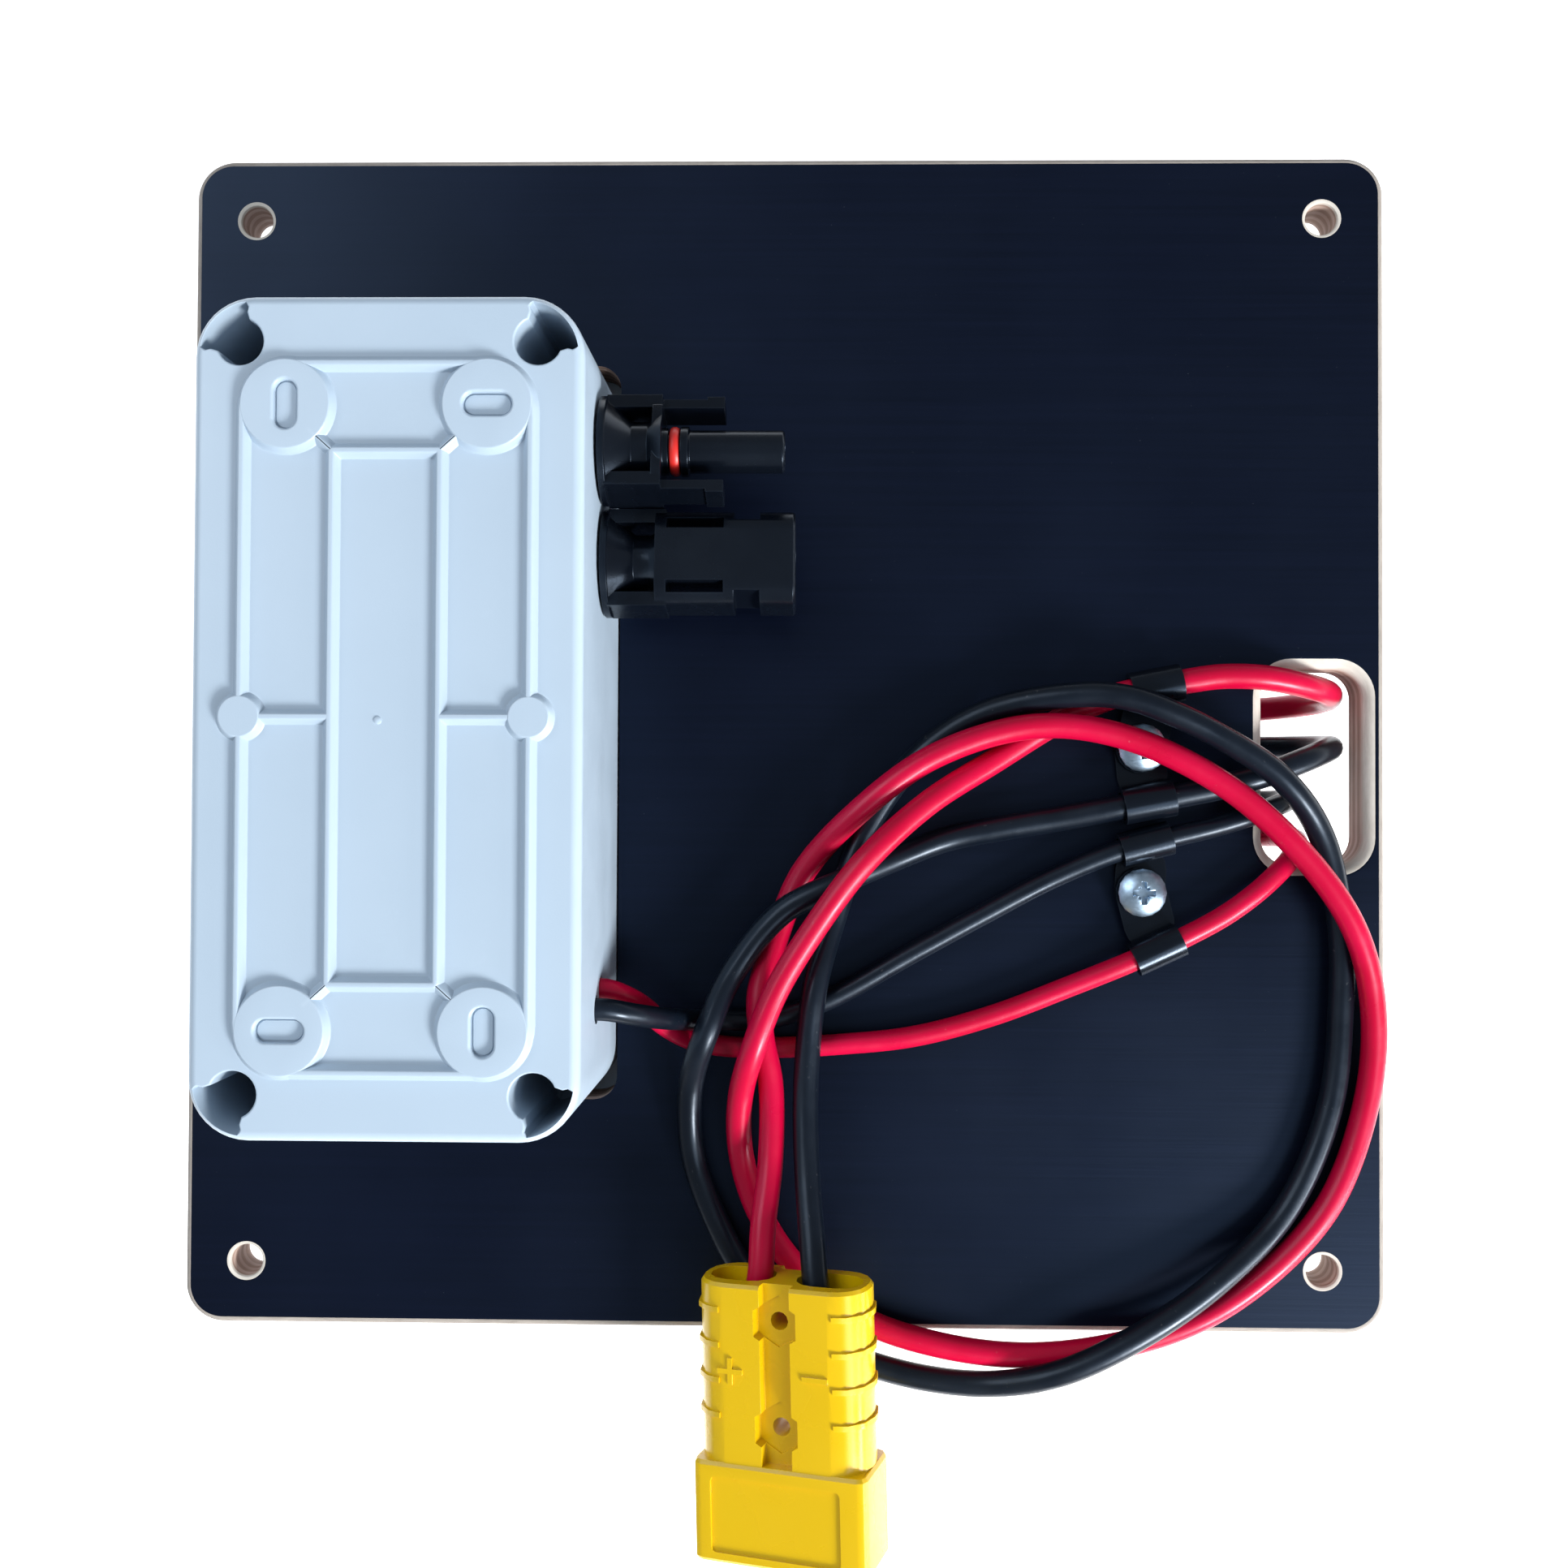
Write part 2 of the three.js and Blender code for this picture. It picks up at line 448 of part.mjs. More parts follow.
function boxCover() {
  const { rim, wall, edge, wellX, wellY, wellFloor, wellWall } = COVER;
  const outline = (inset) => roundRect(
    BOX.flangeWidth - 2 * inset, BOX.flangeHeight - 2 * inset, BOX.flangeCorner - inset, BOX.x, BOX.y,
  );
  const centred = (x, y, z0, z1) => solid(block(BOX.x - x, BOX.x + x, BOX.y - y, BOX.y + y, z0, z1));
  const shell = solid(loft([
    [outline(edge), 0], [outline(edge / 3), edge / 3], [outline(0), edge], [outline(0), rim],
  ]));
  const hollow = solid(prism(outline(wall), wall, rim + 1));
  const well = centred(wellX + wellWall, wellY + wellWall, 0, wellFloor + wellWall);
  const pillars = [];
  const bores = [];
  for (const sx of [-1, 1]) {
    for (const sy of [-1, 1]) {
      const [x, y] = [BOX.x + sx * COVER_SCREW.x, BOX.y + sy * COVER_SCREW.y];
      pillars.push(solid(disc(5.2, x, y, 1, BOX.flangeFront - GAP, 16)));
      bores.push(solid(disc(COVER_SCREW.head + 0.4, x, y, -1, COVER_SCREW.headBase + GAP, 16)));
      bores.push(solid(disc(COVER_SCREW.shank + GAP, x, y, 1, BOX.flangeFront, 12)));
    }
  }
  const pinHole = solid(alongY(
    DOOR.pinHole, hingeX(), hingeZ(), BOX.y - wellY - wellWall - 1, BOX.y + wellY + wellWall + 1, 10,
  ));
  add('enclosure_cover', cut(
    join(cut(shell, hollow), well, ...pillars),
    centred(wellX, wellY, -1, wellFloor),
    centred(BREAKER.halfX + 0.8, BREAKER.halfNose + 0.5, wellFloor - 1, wellFloor + wellWall + 1),
    pinHole,
    ...bores,
  ), 'greyPlastic');
}

/** A cylinder along Y between y0 and y1, through (x, z). */
function alongY(radius, x, z, y0, y1, sides = 16) {
  return new THREE.CylinderGeometry(radius, radius, y1 - y0, sides).translate(x, (y0 + y1) / 2, z);
}

function hingeX() {
  return BOX.x - COVER.wellX + DOOR.gap + DOOR.hingeInset;
}

function hingeZ() {
  return (DOOR.front + DOOR.back) / 2;
}

function coverSeal() {
  const outline = (inset) => roundRect(
    BOX.flangeWidth - 2 * inset, BOX.flangeHeight - 2 * inset, BOX.flangeCorner - inset, BOX.x, BOX.y, 4,
  );
  const [low, high] = [COVER.rim + GAP, BOX.flangeFront - GAP];
  add('cover_seal', cut(
    solid(prism(outline(0.5), low, high)), solid(prism(outline(2.2), low - 1, high + 1)),
  ), 'blackRubber');
}

function boxDoor() {
  const [x, y] = [COVER.wellX - DOOR.gap, COVER.wellY - DOOR.gap];
  const plate = solid(block(BOX.x - x, BOX.x + x, BOX.y - y, BOX.y + y, DOOR.front, DOOR.back));
  const barrel = solid(alongY(DOOR.barrel, hingeX(), hingeZ(), BOX.y - y, BOX.y + y));
  const pull = solid(block(BOX.x + x - 4, BOX.x + x - 2.5, BOX.y - 10, BOX.y + 10, 0.4, DOOR.front + 0.5));
  const bore = solid(alongY(DOOR.pinHole, hingeX(), hingeZ(), BOX.y - y - 1, BOX.y + y + 1, 10));
  add('enclosure_door', cut(join(plate, barrel, pull), bore), 'clearPlastic');
  const end = COVER.wellY + COVER.wellWall - 0.2;
  add('door_hinge_pin', alongY(DOOR.pin, hingeX(), hingeZ(), BOX.y - end, BOX.y + end, 10), 'zinc');
}

/** A slotted pan-head screw driven towards +Z, with its head's face at z = top. */
function frontScrew(name, x, y, { head, shank, top, base, tip }, sides = 8) {
  const body = solid(turned([
    [0, top], [head * 0.8, top], [head, base], [shank, base], [shank, tip - shank], [0, tip],
  ], x, y, sides));
  const groove = (base - top) * 0.5;
  const slot = solid(block(x - head * 0.8, x + head * 0.8, y - 0.4, y + 0.4, top - 1, top + groove));
  add(name, cut(body, slot), 'zinc');
}

function boxScrews() {
  let number = 0;
  for (const sx of [-1, 1]) {
    for (const sy of [-1, 1]) {
      number += 1;
      const { head, shank, headTop, headBase, tip } = COVER_SCREW;
      frontScrew(`cover_screw_${number}`, BOX.x + sx * COVER_SCREW.x, BOX.y + sy * COVER_SCREW.y,
        { head, shank, top: headTop, base: headBase, tip });
      frontScrew(`flange_screw_${number}`, BOX.x + sx * FLANGE_SCREW.x, BOX.y + sy * FLANGE_SCREW.y,
        boardScrew(BOX.flangeFront));
    }
  }
}

/** Sizes of a short wood screw whose head bears on a face at z = seat. */
function boardScrew(seat) {
  const { head, shank, tip } = FLANGE_SCREW;
  return { head, shank, top: seat - GAP - 1.7, base: seat - GAP, tip };
}

// ---- breaker on its rail ----
function dinRail() {
  const { halfX, halfY, front, back, thick, hatHalf, screwX } = RAIL;
  const bar = (y0, y1, z0, z1) => solid(
    block(BOX.x - halfX, BOX.x + halfX, BOX.y + y0, BOX.y + y1, z0, z1),
  );
  const rail = join(
    bar(-halfY, -hatHalf, front, front + thick), bar(hatHalf, halfY, front, front + thick),
    bar(-hatHalf, -hatHalf + thick, front, back), bar(hatHalf - thick, hatHalf, front, back),
    bar(-hatHalf, hatHalf, back - thick, back),
  );
  const holes = [-1, 1].map((s) => solid(disc(1.5 + GAP, BOX.x + s * screwX, BOX.y, front, back + 1, 10)));
  add('din_rail', cut(rail, ...holes), 'zinc');
  [-1, 1].forEach((s, i) => frontScrew(`rail_screw_${i + 1}`, BOX.x + s * screwX, BOX.y,
    { head: 2.8, shank: 1.5, top: back - thick - GAP - 1.8, base: back - thick - GAP, tip: back + 7 }));
}

function breaker() {
  const { halfX, halfY, halfNose, nose, shoulder, back, poleX, poleZ, poleHole, poleDepth } = BREAKER;
  const centred = (x, y0, y1, z0, z1) => solid(
    block(BOX.x - x, BOX.x + x, BOX.y + y0, BOX.y + y1, z0, z1),
  );
  const hook = RAIL.halfY + GAP;
  const body = join(
    centred(halfX, -halfY, halfY, shoulder, back),
    centred(halfX, -halfNose, halfNose, nose, shoulder + 1),
    centred(halfX, hook, hook + 6, back - 1, back + 4),
    centred(halfX, hook - 2, hook + 1, RAIL.front + RAIL.thick + GAP, back + 4),
  );
  const drum = TOGGLE.drum + 0.8;
  const tools = [centred(TOGGLE.length / 2 + 0.5, -drum, drum, nose - 1, TOGGLE.z + drum)];
  for (const s of [-1, 1]) {
    for (const t of [-1, 1]) {
      const [x, end] = [BOX.x + s * poleX, BOX.y + t * halfY];
      tools.push(solid(alongY(poleHole, x, poleZ, end - poleDepth, end + poleDepth, 12)));
      tools.push(solid(disc(2.6, x, BOX.y + t * (halfY - 7), shoulder - 1, shoulder + 8, 12)));
    }
  }
  add('breaker_body', cut(body, ...tools), 'whitePlastic');

  const axisTurn = new THREE.Matrix4().makeRotationX(TOGGLE.angle * DEGREE);
  const half = TOGGLE.length / 2;
  const lever = block(-half, half, -TOGGLE.thick / 2, TOGGLE.thick / 2, -TOGGLE.lever, 0);
  const drumShape = alongX(disc(TOGGLE.drum, 0, 0, -half, half, 16));
  const toggle = [lever, drumShape].map((g) => solid(
    g.applyMatrix4(axisTurn).translate(BOX.x, BOX.y, TOGGLE.z),
  ));
  add('breaker_toggle', join(...toggle), 'bluePlastic');

  const lip = RAIL.front + RAIL.thick + GAP;
  add('breaker_din_clip', join(
    centred(6, -halfY + 1, -hook, back + GAP, back + 4),
    centred(6, -hook - 1, -hook + 1.9, lip, back + 4),
  ), 'blackPlastic');
}

// ---- panel connectors ----
/** The parts that both connectors share: flange, waisted cone, threaded tail and side struts. */
function connectorRoot(barEnd) {
  const { x, flange, thread, tail } = CONNECTOR;
  const waist = solid(alongX(turned([
    [0, tail], [thread, tail], [thread, x + 1], [flange, x + 1], [flange, x + 1.3], [9.4, x + 1.3],
    [5.6, x + 5.9], [5.6, x + 8.9], [7.4, barEnd], [0, barEnd],
  ], 0, 0, 20)));
  const rim = solid(alongX(turned([
    [0, x], [flange, x], [flange, x + 1.3], [0, x + 1.3],
  ], 0, 0, 20)));
  const sealSeat = solid(alongX(turned([
    [thread, x - 1], [9.2, x - 1], [9.2, x + 1], [thread, x + 1], [thread, x - 1],
  ])));
  const struts = [-1, 1].map((s) => solid(
    block(x + 1, barEnd, Math.min(s * 6.9, s * 9.6), Math.max(s * 6.9, s * 9.6), -5, 5),
  ));
  return cut(join(waist, rim, ...struts), sealSeat);
}

/** Turns a body made along the X axis about that axis and moves it to a connector's place. */
function seat(shape, { y, z, roll }) {
  const found = shape.isBufferGeometry ? shape : geometryOf(shape);
  return found.clone().rotateX(-roll * DEGREE).translate(0, y, z);
}

function geometryOf(body) {
  const found = body.getMesh();
  const geometry = new THREE.BufferGeometry();
  geometry.setAttribute('position', new THREE.Float32BufferAttribute(found.vertProperties, 3));
  geometry.setIndex(new THREE.BufferAttribute(new Uint32Array(found.triVerts), 1));
  return geometry;
}

function maleConnector() {
  const { tube: radius, tubeEnd, barEnd, armEnd } = MALE;
  const spout = solid(alongX(turned([
    [0, barEnd - 1], [4.5, barEnd - 1], [4.5, -21.7], [3.6, -21.7], [3.6, -19.3], [4.8, -19.3],
    [4.8, -17.9], [radius, -17.6], [radius, tubeEnd - 0.4], [radius - 0.4, tubeEnd], [0, tubeEnd],
  ], 0, 0, 16)));
  const plate = solid(alongX(prism(roundRect(19.2, 11, 4), barEnd - 1.9, barEnd)));
  const arms = [-1, 1].flatMap((s) => [
    solid(block(barEnd - 1, armEnd, Math.min(s * 7.7, s * 9.6), Math.max(s * 7.7, s * 9.6), -3.2, 3.2)),
    solid(block(armEnd - 3.4, armEnd, Math.min(s * 7.7, s * 10.2), Math.max(s * 7.7, s * 10.2), -3.2, 3.2)),
  ]);
  const bore = solid(alongX(disc(2.6, 0, 0, CONNECTOR.tail - 1, tubeEnd + 1, 16)));
  const body = cut(join(connectorRoot(barEnd), spout, plate, ...arms), bore);
  add('male_connector_body', seat(body, MALE), 'blackPlastic');
  add('male_connector_pin', seat(alongX(turned([
    [0, CONNECTOR.tail], [2.2, CONNECTOR.tail], [2.2, -14], [1.5, -12], [1.5, -3.6], [0.9, -2.4],
    [0, -2.4],
  ], 0, 0, 14)), MALE), 'copper');
  add('male_connector_o_ring', seat(alongX(oRing(4.75, 3.9, -20.5, 1.0)), MALE), 'redRubber');
}

/** A rubber ring of round section, flattened inside where it sits in its groove. */
function oRing(outer, inner, x, half) {
  const profile = [];
  for (let i = 0; i <= 5; i += 1) {
    const angle = -Math.PI / 2 + Math.PI * i / 5;
    profile.push([inner + 0.15 + (outer - inner - 0.15) * Math.cos(angle), x + half * Math.sin(angle)]);
  }
  profile.push(profile[0]);
  return turned(profile, 0, 0, 20);
}

function femaleConnector() {
  const { end, halfWidth, halfHeight, mouth } = FEMALE;
  const start = -22.3;
  const section = roundRect(2 * halfWidth, 2 * halfHeight, 4.6);
  const nose = roundRect(2 * halfWidth - 0.8, 2 * halfHeight - 0.8, 4.2);
  const barrel = solid(alongX(loft([[section, start - 2], [section, end - 0.4], [nose, end]])));
  const tools = [
    solid(alongX(disc(mouth, 0, 0, -20, end + 1))),
    solid(alongX(disc(3.6, 0, 0, CONNECTOR.tail - 1, end, 16))),
  ];
  for (const s of [-1, 1]) {
    const [near, far] = [s * 5.2, s * 7.4];
    tools.push(solid(block(start + 0.2, -11.1, Math.min(near, far), Math.max(near, far), -9, 9)));
    const [deep, out] = [s * 7, s * 11];
    tools.push(solid(block(-9.15, -4.15, Math.min(deep, out), Math.max(deep, out), -9, 9)));
  }
  const body = cut(join(connectorRoot(start), barrel), ...tools);
  add('female_connector_body', seat(body, FEMALE), 'blackPlastic');
  add('female_connector_socket', seat(alongX(turned([
    [0, CONNECTOR.tail], [3.2, CONNECTOR.tail], [3.2, -3.4], [2.9, -3], [1.7, -3], [1.7, -16], [0, -16],
  ], 0, 0, 16)), FEMALE), 'copper');
}

/** Flange seal outside and lock nut inside the box's wall. */
function connectorFixings(name, place) {
  const { x, thread, nut } = CONNECTOR;
  const band = (inner, outer, x0, x1, sides) => cut(
    solid(alongX(disc(outer, 0, 0, x0, x1, sides))), solid(alongX(disc(inner, 0, 0, x0 - 1, x1 + 1))),
  );
  add(`${name}_seal`, seat(band(thread + GAP, 9, x - 0.1, x + 0.7, 24), place), 'blackRubber');
  const inside = BOX.x + BOX.width / 2 - BOX.wall - GAP;
  add(`${name}_nut`, seat(band(thread + GAP, nut, inside - 3.2, inside, 6), place), 'blackPlastic');
}

// ---- clips, screws and leads ----
function clip(number, { lead, angle, radius, screw, tab }) {
  const [x, y] = lead;
  const inner = radius + CLIP.clear;
  const outer = inner + CLIP.strap;
  const z = CLIP.bottom + outer;
  const [sx, sy] = [CLIP_SCREW.x, CLIP_SCREW.y[screw]];
  const turn = angle * DEGREE;
  const round = (r, half) => solid(
    alongX(disc(r, 0, 0, -half, half, 16)).rotateZ(turn).translate(x, y, z),
  );
  const reach = Math.hypot(sx - x, sy - y);
  const half = CLIP.width / 2;
  const tail = prism(roundRect(reach + half, CLIP.width, half, (reach - half) / 2 + half, 0), 0, CLIP.strap);
  const heading = Math.atan2(sy - y, sx - x);
  const strap = solid(tail.rotateZ(heading).translate(x, y, CLIP[tab]));
  const hole = solid(disc(CLIP_SCREW.shank + GAP, sx, sy, BOARD.back, CLIP_SCREW.under, 16));
  const body = cut(join(round(outer, half), strap), round(inner, half + 3), hole);
  add(`p_clip_${number}`, body, 'blackPlastic');
}

function clipScrew(number, y) {
  const { x, head, shank, under, tip } = CLIP_SCREW;
  const body = solid(turned([
    [0, tip], [shank, tip + 2], [shank, under], [head - 0.3, under], [head, under + 0.4],
    [head, under + 0.9], [head - 1, under + 1.9], [head - 2.6, under + 2.5], [0, under + 2.7],
  ], x, y, 16));
  const deep = under + 1.2;
  const tools = [0, 45, 90, 135].map((turn) => {
    const main = turn % 90 === 0;
    const [long, wide] = main ? [4.6, 1] : [3, 0.5];
    const arm = block(-long / 2, long / 2, -wide / 2, wide / 2, deep, under + 4).rotateZ(turn * DEGREE);
    return solid(arm.translate(x, y, 0));
  });
  add(`clip_screw_${number}`, cut(body, ...tools), 'zinc');
}

function leads() {
  add('battery_lead_positive', tube(ROUTES.battery_positive, THICK_LEAD, 56), 'redInsulation');
  add('battery_lead_negative', tube(ROUTES.battery_negative, THICK_LEAD, 56), 'blackInsulation');
  add('solar_lead_negative', tube(ROUTES.solar_negative, THIN_LEAD, 36), 'blackInsulation');
  add('solar_lead_positive', tube(ROUTES.solar_positive, THIN_LEAD, 36), 'redInsulation');
  add('inlet_lead_positive', tube(ROUTES.inlet_positive, THIN_LEAD - 0.2, 12), 'redInsulation');
  add('inlet_lead_negative', tube(ROUTES.inlet_negative, THIN_LEAD - 0.2, 12), 'blackInsulation');
}

// ---- battery plug: made with its rear end at y = 0 and its mating end towards -Y ----
function plugPlace(geometry) {
  return geometry.clone()
    .rotateY(PLUG.roll * DEGREE)
    .rotateZ(PLUG.yaw * DEGREE)
    .translate(PLUG.x, PLUG.y, PLUG.z);
}

/** A prism along Y between y0 and y1 from an outline in X and Z. */
function barY(outline, y0, y1) {
  return prism(outline, -y1, -y0).rotateX(Math.PI / 2);
}

function plugHousing() {
  const {
    width, thick, rear, length, headWidth, headThick, corner, channel, channelDepth, mouthX, gripX,
  } = PLUG;
  const body = solid(loft([
    [roundRect(width - 1, thick - 1, corner - 0.5), 0], [roundRect(width, thick, corner), 0.7],
    [roundRect(width, thick, corner), rear + 1],
  ]).rotateX(Math.PI / 2));
  const head = solid(loft([
    [roundRect(headWidth - 1, headThick - 1, 1.5, 0, 0, 2), rear],
    [roundRect(headWidth, headThick, 2, 0, 0, 2), rear + 0.7],
    [roundRect(headWidth, headThick, 2, 0, 0, 2), length - 0.7],
    [roundRect(headWidth - 1, headThick - 1, 1.5, 0, 0, 2), length],
  ]).rotateX(Math.PI / 2));
  const ridges = [4.6, 11.4, 18.2, 25].map((at) => {
    const band = solid(barY(roundRect(width + 1.2, thick + 0.9, corner + 0.4, 0, 0, 3), -at - 1.1, -at));
    const middle = block(-gripX, gripX, -at - 2, -at + 1, -thick, thick);
    return cut(band, solid(middle));
  });
  const tools = [];
  for (const s of [-1, 1]) {
    const z0 = s * (thick / 2 - channelDepth);
    const z1 = s * (thick / 2 + 2);
    tools.push(solid(block(-channel / 2, channel / 2, -rear, 1, Math.min(z0, z1), Math.max(z0, z1))));
    tools.push(solid(barY(roundRect(13.4, 9, 4.4, s * mouthX, 0, 3), -16, 1)));
    tools.push(solid(barY(ring(4, s * mouthX, 0, 12), -34, -15)));
    tools.push(solid(barY(roundRect(12.8, 10.4, 1.4, s * 8.6, 0, 2), -length - 1, -33)));
  }
  const panel = roundRect(26.5, 14.6, 1, -0.6, -rear - 1 - (length - rear) / 2 + 0.6, 2);
  tools.push(solid(prism(panel, headThick / 2 - 0.5, headThick)));
  for (const at of [-7.2, -27.6]) {
    tools.push(solid(disc(1.8, 0, at, -thick, thick, 12)));
    const nutWell = disc(5, 0, 0, thick / 2 - channelDepth - 0.4, thick, 6);
    tools.push(solid(nutWell.rotateZ(Math.PI / 2).translate(0, at, 0)));
  }
  const marks = [
    block(-11.9, -6.7, -17.3, -16.3, thick / 2 - 1, thick / 2 + 0.35),
    block(-9.8, -8.8, -19.4, -14.2, thick / 2 - 1, thick / 2 + 0.35),
    block(5.5, 10.7, -17.3, -16.3, thick / 2 - 1, thick / 2 + 0.35),
  ].map(solid);
  const housing = join(cut(join(body, head, ...ridges), ...tools), ...marks);
  add('plug_housing', plugPlace(geometryOf(housing)), 'yellowPlastic');
}

function plugContacts() {
  [['plug_contact_positive', -1], ['plug_contact_negative', 1]].forEach(([name, s]) => {
    const barrel = solid(barY(ring(3.6, s * PLUG.mouthX, 0, 16), -33.6, -19));
    const bladeX = s * 8.9;
    const blade = solid(block(bladeX - 3.5, bladeX + 3.5, -49, -33.2, -1.1, 1.1));
    add(name, plugPlace(geometryOf(join(barrel, blade))), 'copper');
  });
}

// ---- regulator on the board's front ----
function regulator() {
  const { x0, x1, y0, y1, cover, wall, corner, plateFront, plateOver, screwX, screwY } = REGULATOR;
  const [cx, cy, width, height] = [(x0 + x1) / 2, (y0 + y1) / 2, x1 - x0, y1 - y0];
  const plate = solid(prism(
    roundRect(width, height + 2 * plateOver, 3, cx, cy), plateFront, BOARD.front - GAP,
  ));
  const plateHoles = screwX.flatMap((x) => screwY.map((y) => solid(
    disc(FLANGE_SCREW.shank + GAP, x, y, plateFront - 1, BOARD.front, 10),
  )));
  const posts = [x0 + 12, x1 - 30].flatMap((x) => [y0 + 12, y1 - 12].map((y) => solid(
    disc(POST.radius, x, y, POST.front, plateFront + 0.5, 10),
  )));
  add('regulator_back_plate', cut(join(plate, ...posts), ...plateHoles), 'aluminium');
  let number = 0;
  for (const x of screwX) {
    for (const y of screwY) {
      number += 1;
      frontScrew(`regulator_screw_${number}`, x, y, boardScrew(plateFront));
    }
  }

  const outline = (inset) => roundRect(width - 2 * inset, height - 2 * inset, corner - inset, cx, cy);
  const shell = solid(loft([
    [outline(1.5), 0], [outline(0.5), 0.5], [outline(0), 1.5], [outline(0), cover],
  ]));
  const entry = block(
    x1 - wall - 1, x1 + 1, TERMINAL.y0, TERMINAL.y1, TERMINAL.front + 1, TERMINAL.back - 1,
  );
  const access = TERMINAL_Y.map((y) => solid(disc(3.2, TERMINAL.depth, y, -1, wall + 1, 16)));
  const window = { x0: 6, x1: 46, y0: 14, y1: 30 };
  const pane = (grow, z0, z1) => solid(block(
    window.x0 - grow, window.x1 + grow, window.y0 - grow, window.y1 + grow, z0, z1,
  ));
  add('regulator_cover', cut(
    shell, solid(prism(outline(wall), wall, cover + 1)), solid(entry), pane(GAP, -1, wall + 1), ...access,
  ), 'darkCover');
  add('status_window', pane(0, 0.4, wall), 'clearPlastic');
  add('circuit_board', block(x0 + 6, x1 - 6, y0 + 6, y1 - 6, 27, 28.6), 'greenBoard');

  const { x0: bx0, x1: bx1, y0: by0, y1: by1, front, back, depth, hole } = TERMINAL;
  const wells = TERMINAL_Y.flatMap((y) => [
    solid(alongX(disc(hole, y, REGULATOR.leadZ, depth, bx1 + 1, 16))),
    solid(disc(1.8, depth, y, front - 1, front + 3.2, 10)),
  ]);
  add('terminal_block', cut(solid(block(bx0, bx1, by0, by1, front, back)), ...wells), 'blackPlastic');
  TERMINAL_Y.forEach((y, i) => frontScrew(`terminal_screw_${i + 1}`, depth, y, {
    head: 2.4, shank: 1.5, top: front - GAP - 1.8, base: front - GAP, tip: front + 2.9,
  }));
}

mountingBoard();
boxBase();
boxCover();
coverSeal();
boxDoor();
boxScrews();
dinRail();
breaker();
maleConnector();
femaleConnector();
connectorFixings('male_connector', MALE);
connectorFixings('female_connector', FEMALE);
CLIPS.forEach((placed, i) => clip(i + 1, placed));
CLIP_SCREW.y.forEach((y, i) => clipScrew(i + 1, y));
leads();
plugHousing();
plugContacts();
regulator();

export default part;
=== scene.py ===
"""A solar regulator board seen from its back, with procedural materials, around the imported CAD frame."""
import json
import math

import bmesh
import bpy
from mathutils import Matrix, Vector


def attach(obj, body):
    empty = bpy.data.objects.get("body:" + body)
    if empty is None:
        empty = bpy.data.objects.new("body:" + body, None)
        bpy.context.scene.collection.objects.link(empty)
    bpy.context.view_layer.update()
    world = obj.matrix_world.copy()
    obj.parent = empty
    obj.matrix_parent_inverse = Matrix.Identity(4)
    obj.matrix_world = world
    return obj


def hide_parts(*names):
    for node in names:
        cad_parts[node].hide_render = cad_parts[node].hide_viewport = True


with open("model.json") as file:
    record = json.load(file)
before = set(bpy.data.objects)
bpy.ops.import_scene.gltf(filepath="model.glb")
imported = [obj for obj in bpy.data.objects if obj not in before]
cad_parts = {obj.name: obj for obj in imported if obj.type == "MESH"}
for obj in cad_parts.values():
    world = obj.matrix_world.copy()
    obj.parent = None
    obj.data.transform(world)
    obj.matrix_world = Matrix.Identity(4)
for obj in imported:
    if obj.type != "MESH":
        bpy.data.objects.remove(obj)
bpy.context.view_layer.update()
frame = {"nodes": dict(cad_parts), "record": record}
NODES = frame["nodes"]
MM = 0.001
ROOT = "board"

THICK_LEAD = 5.2 * MM  # diameters
THIN_LEAD = 4.36 * MM
INLET_LEAD = 3.96 * MM

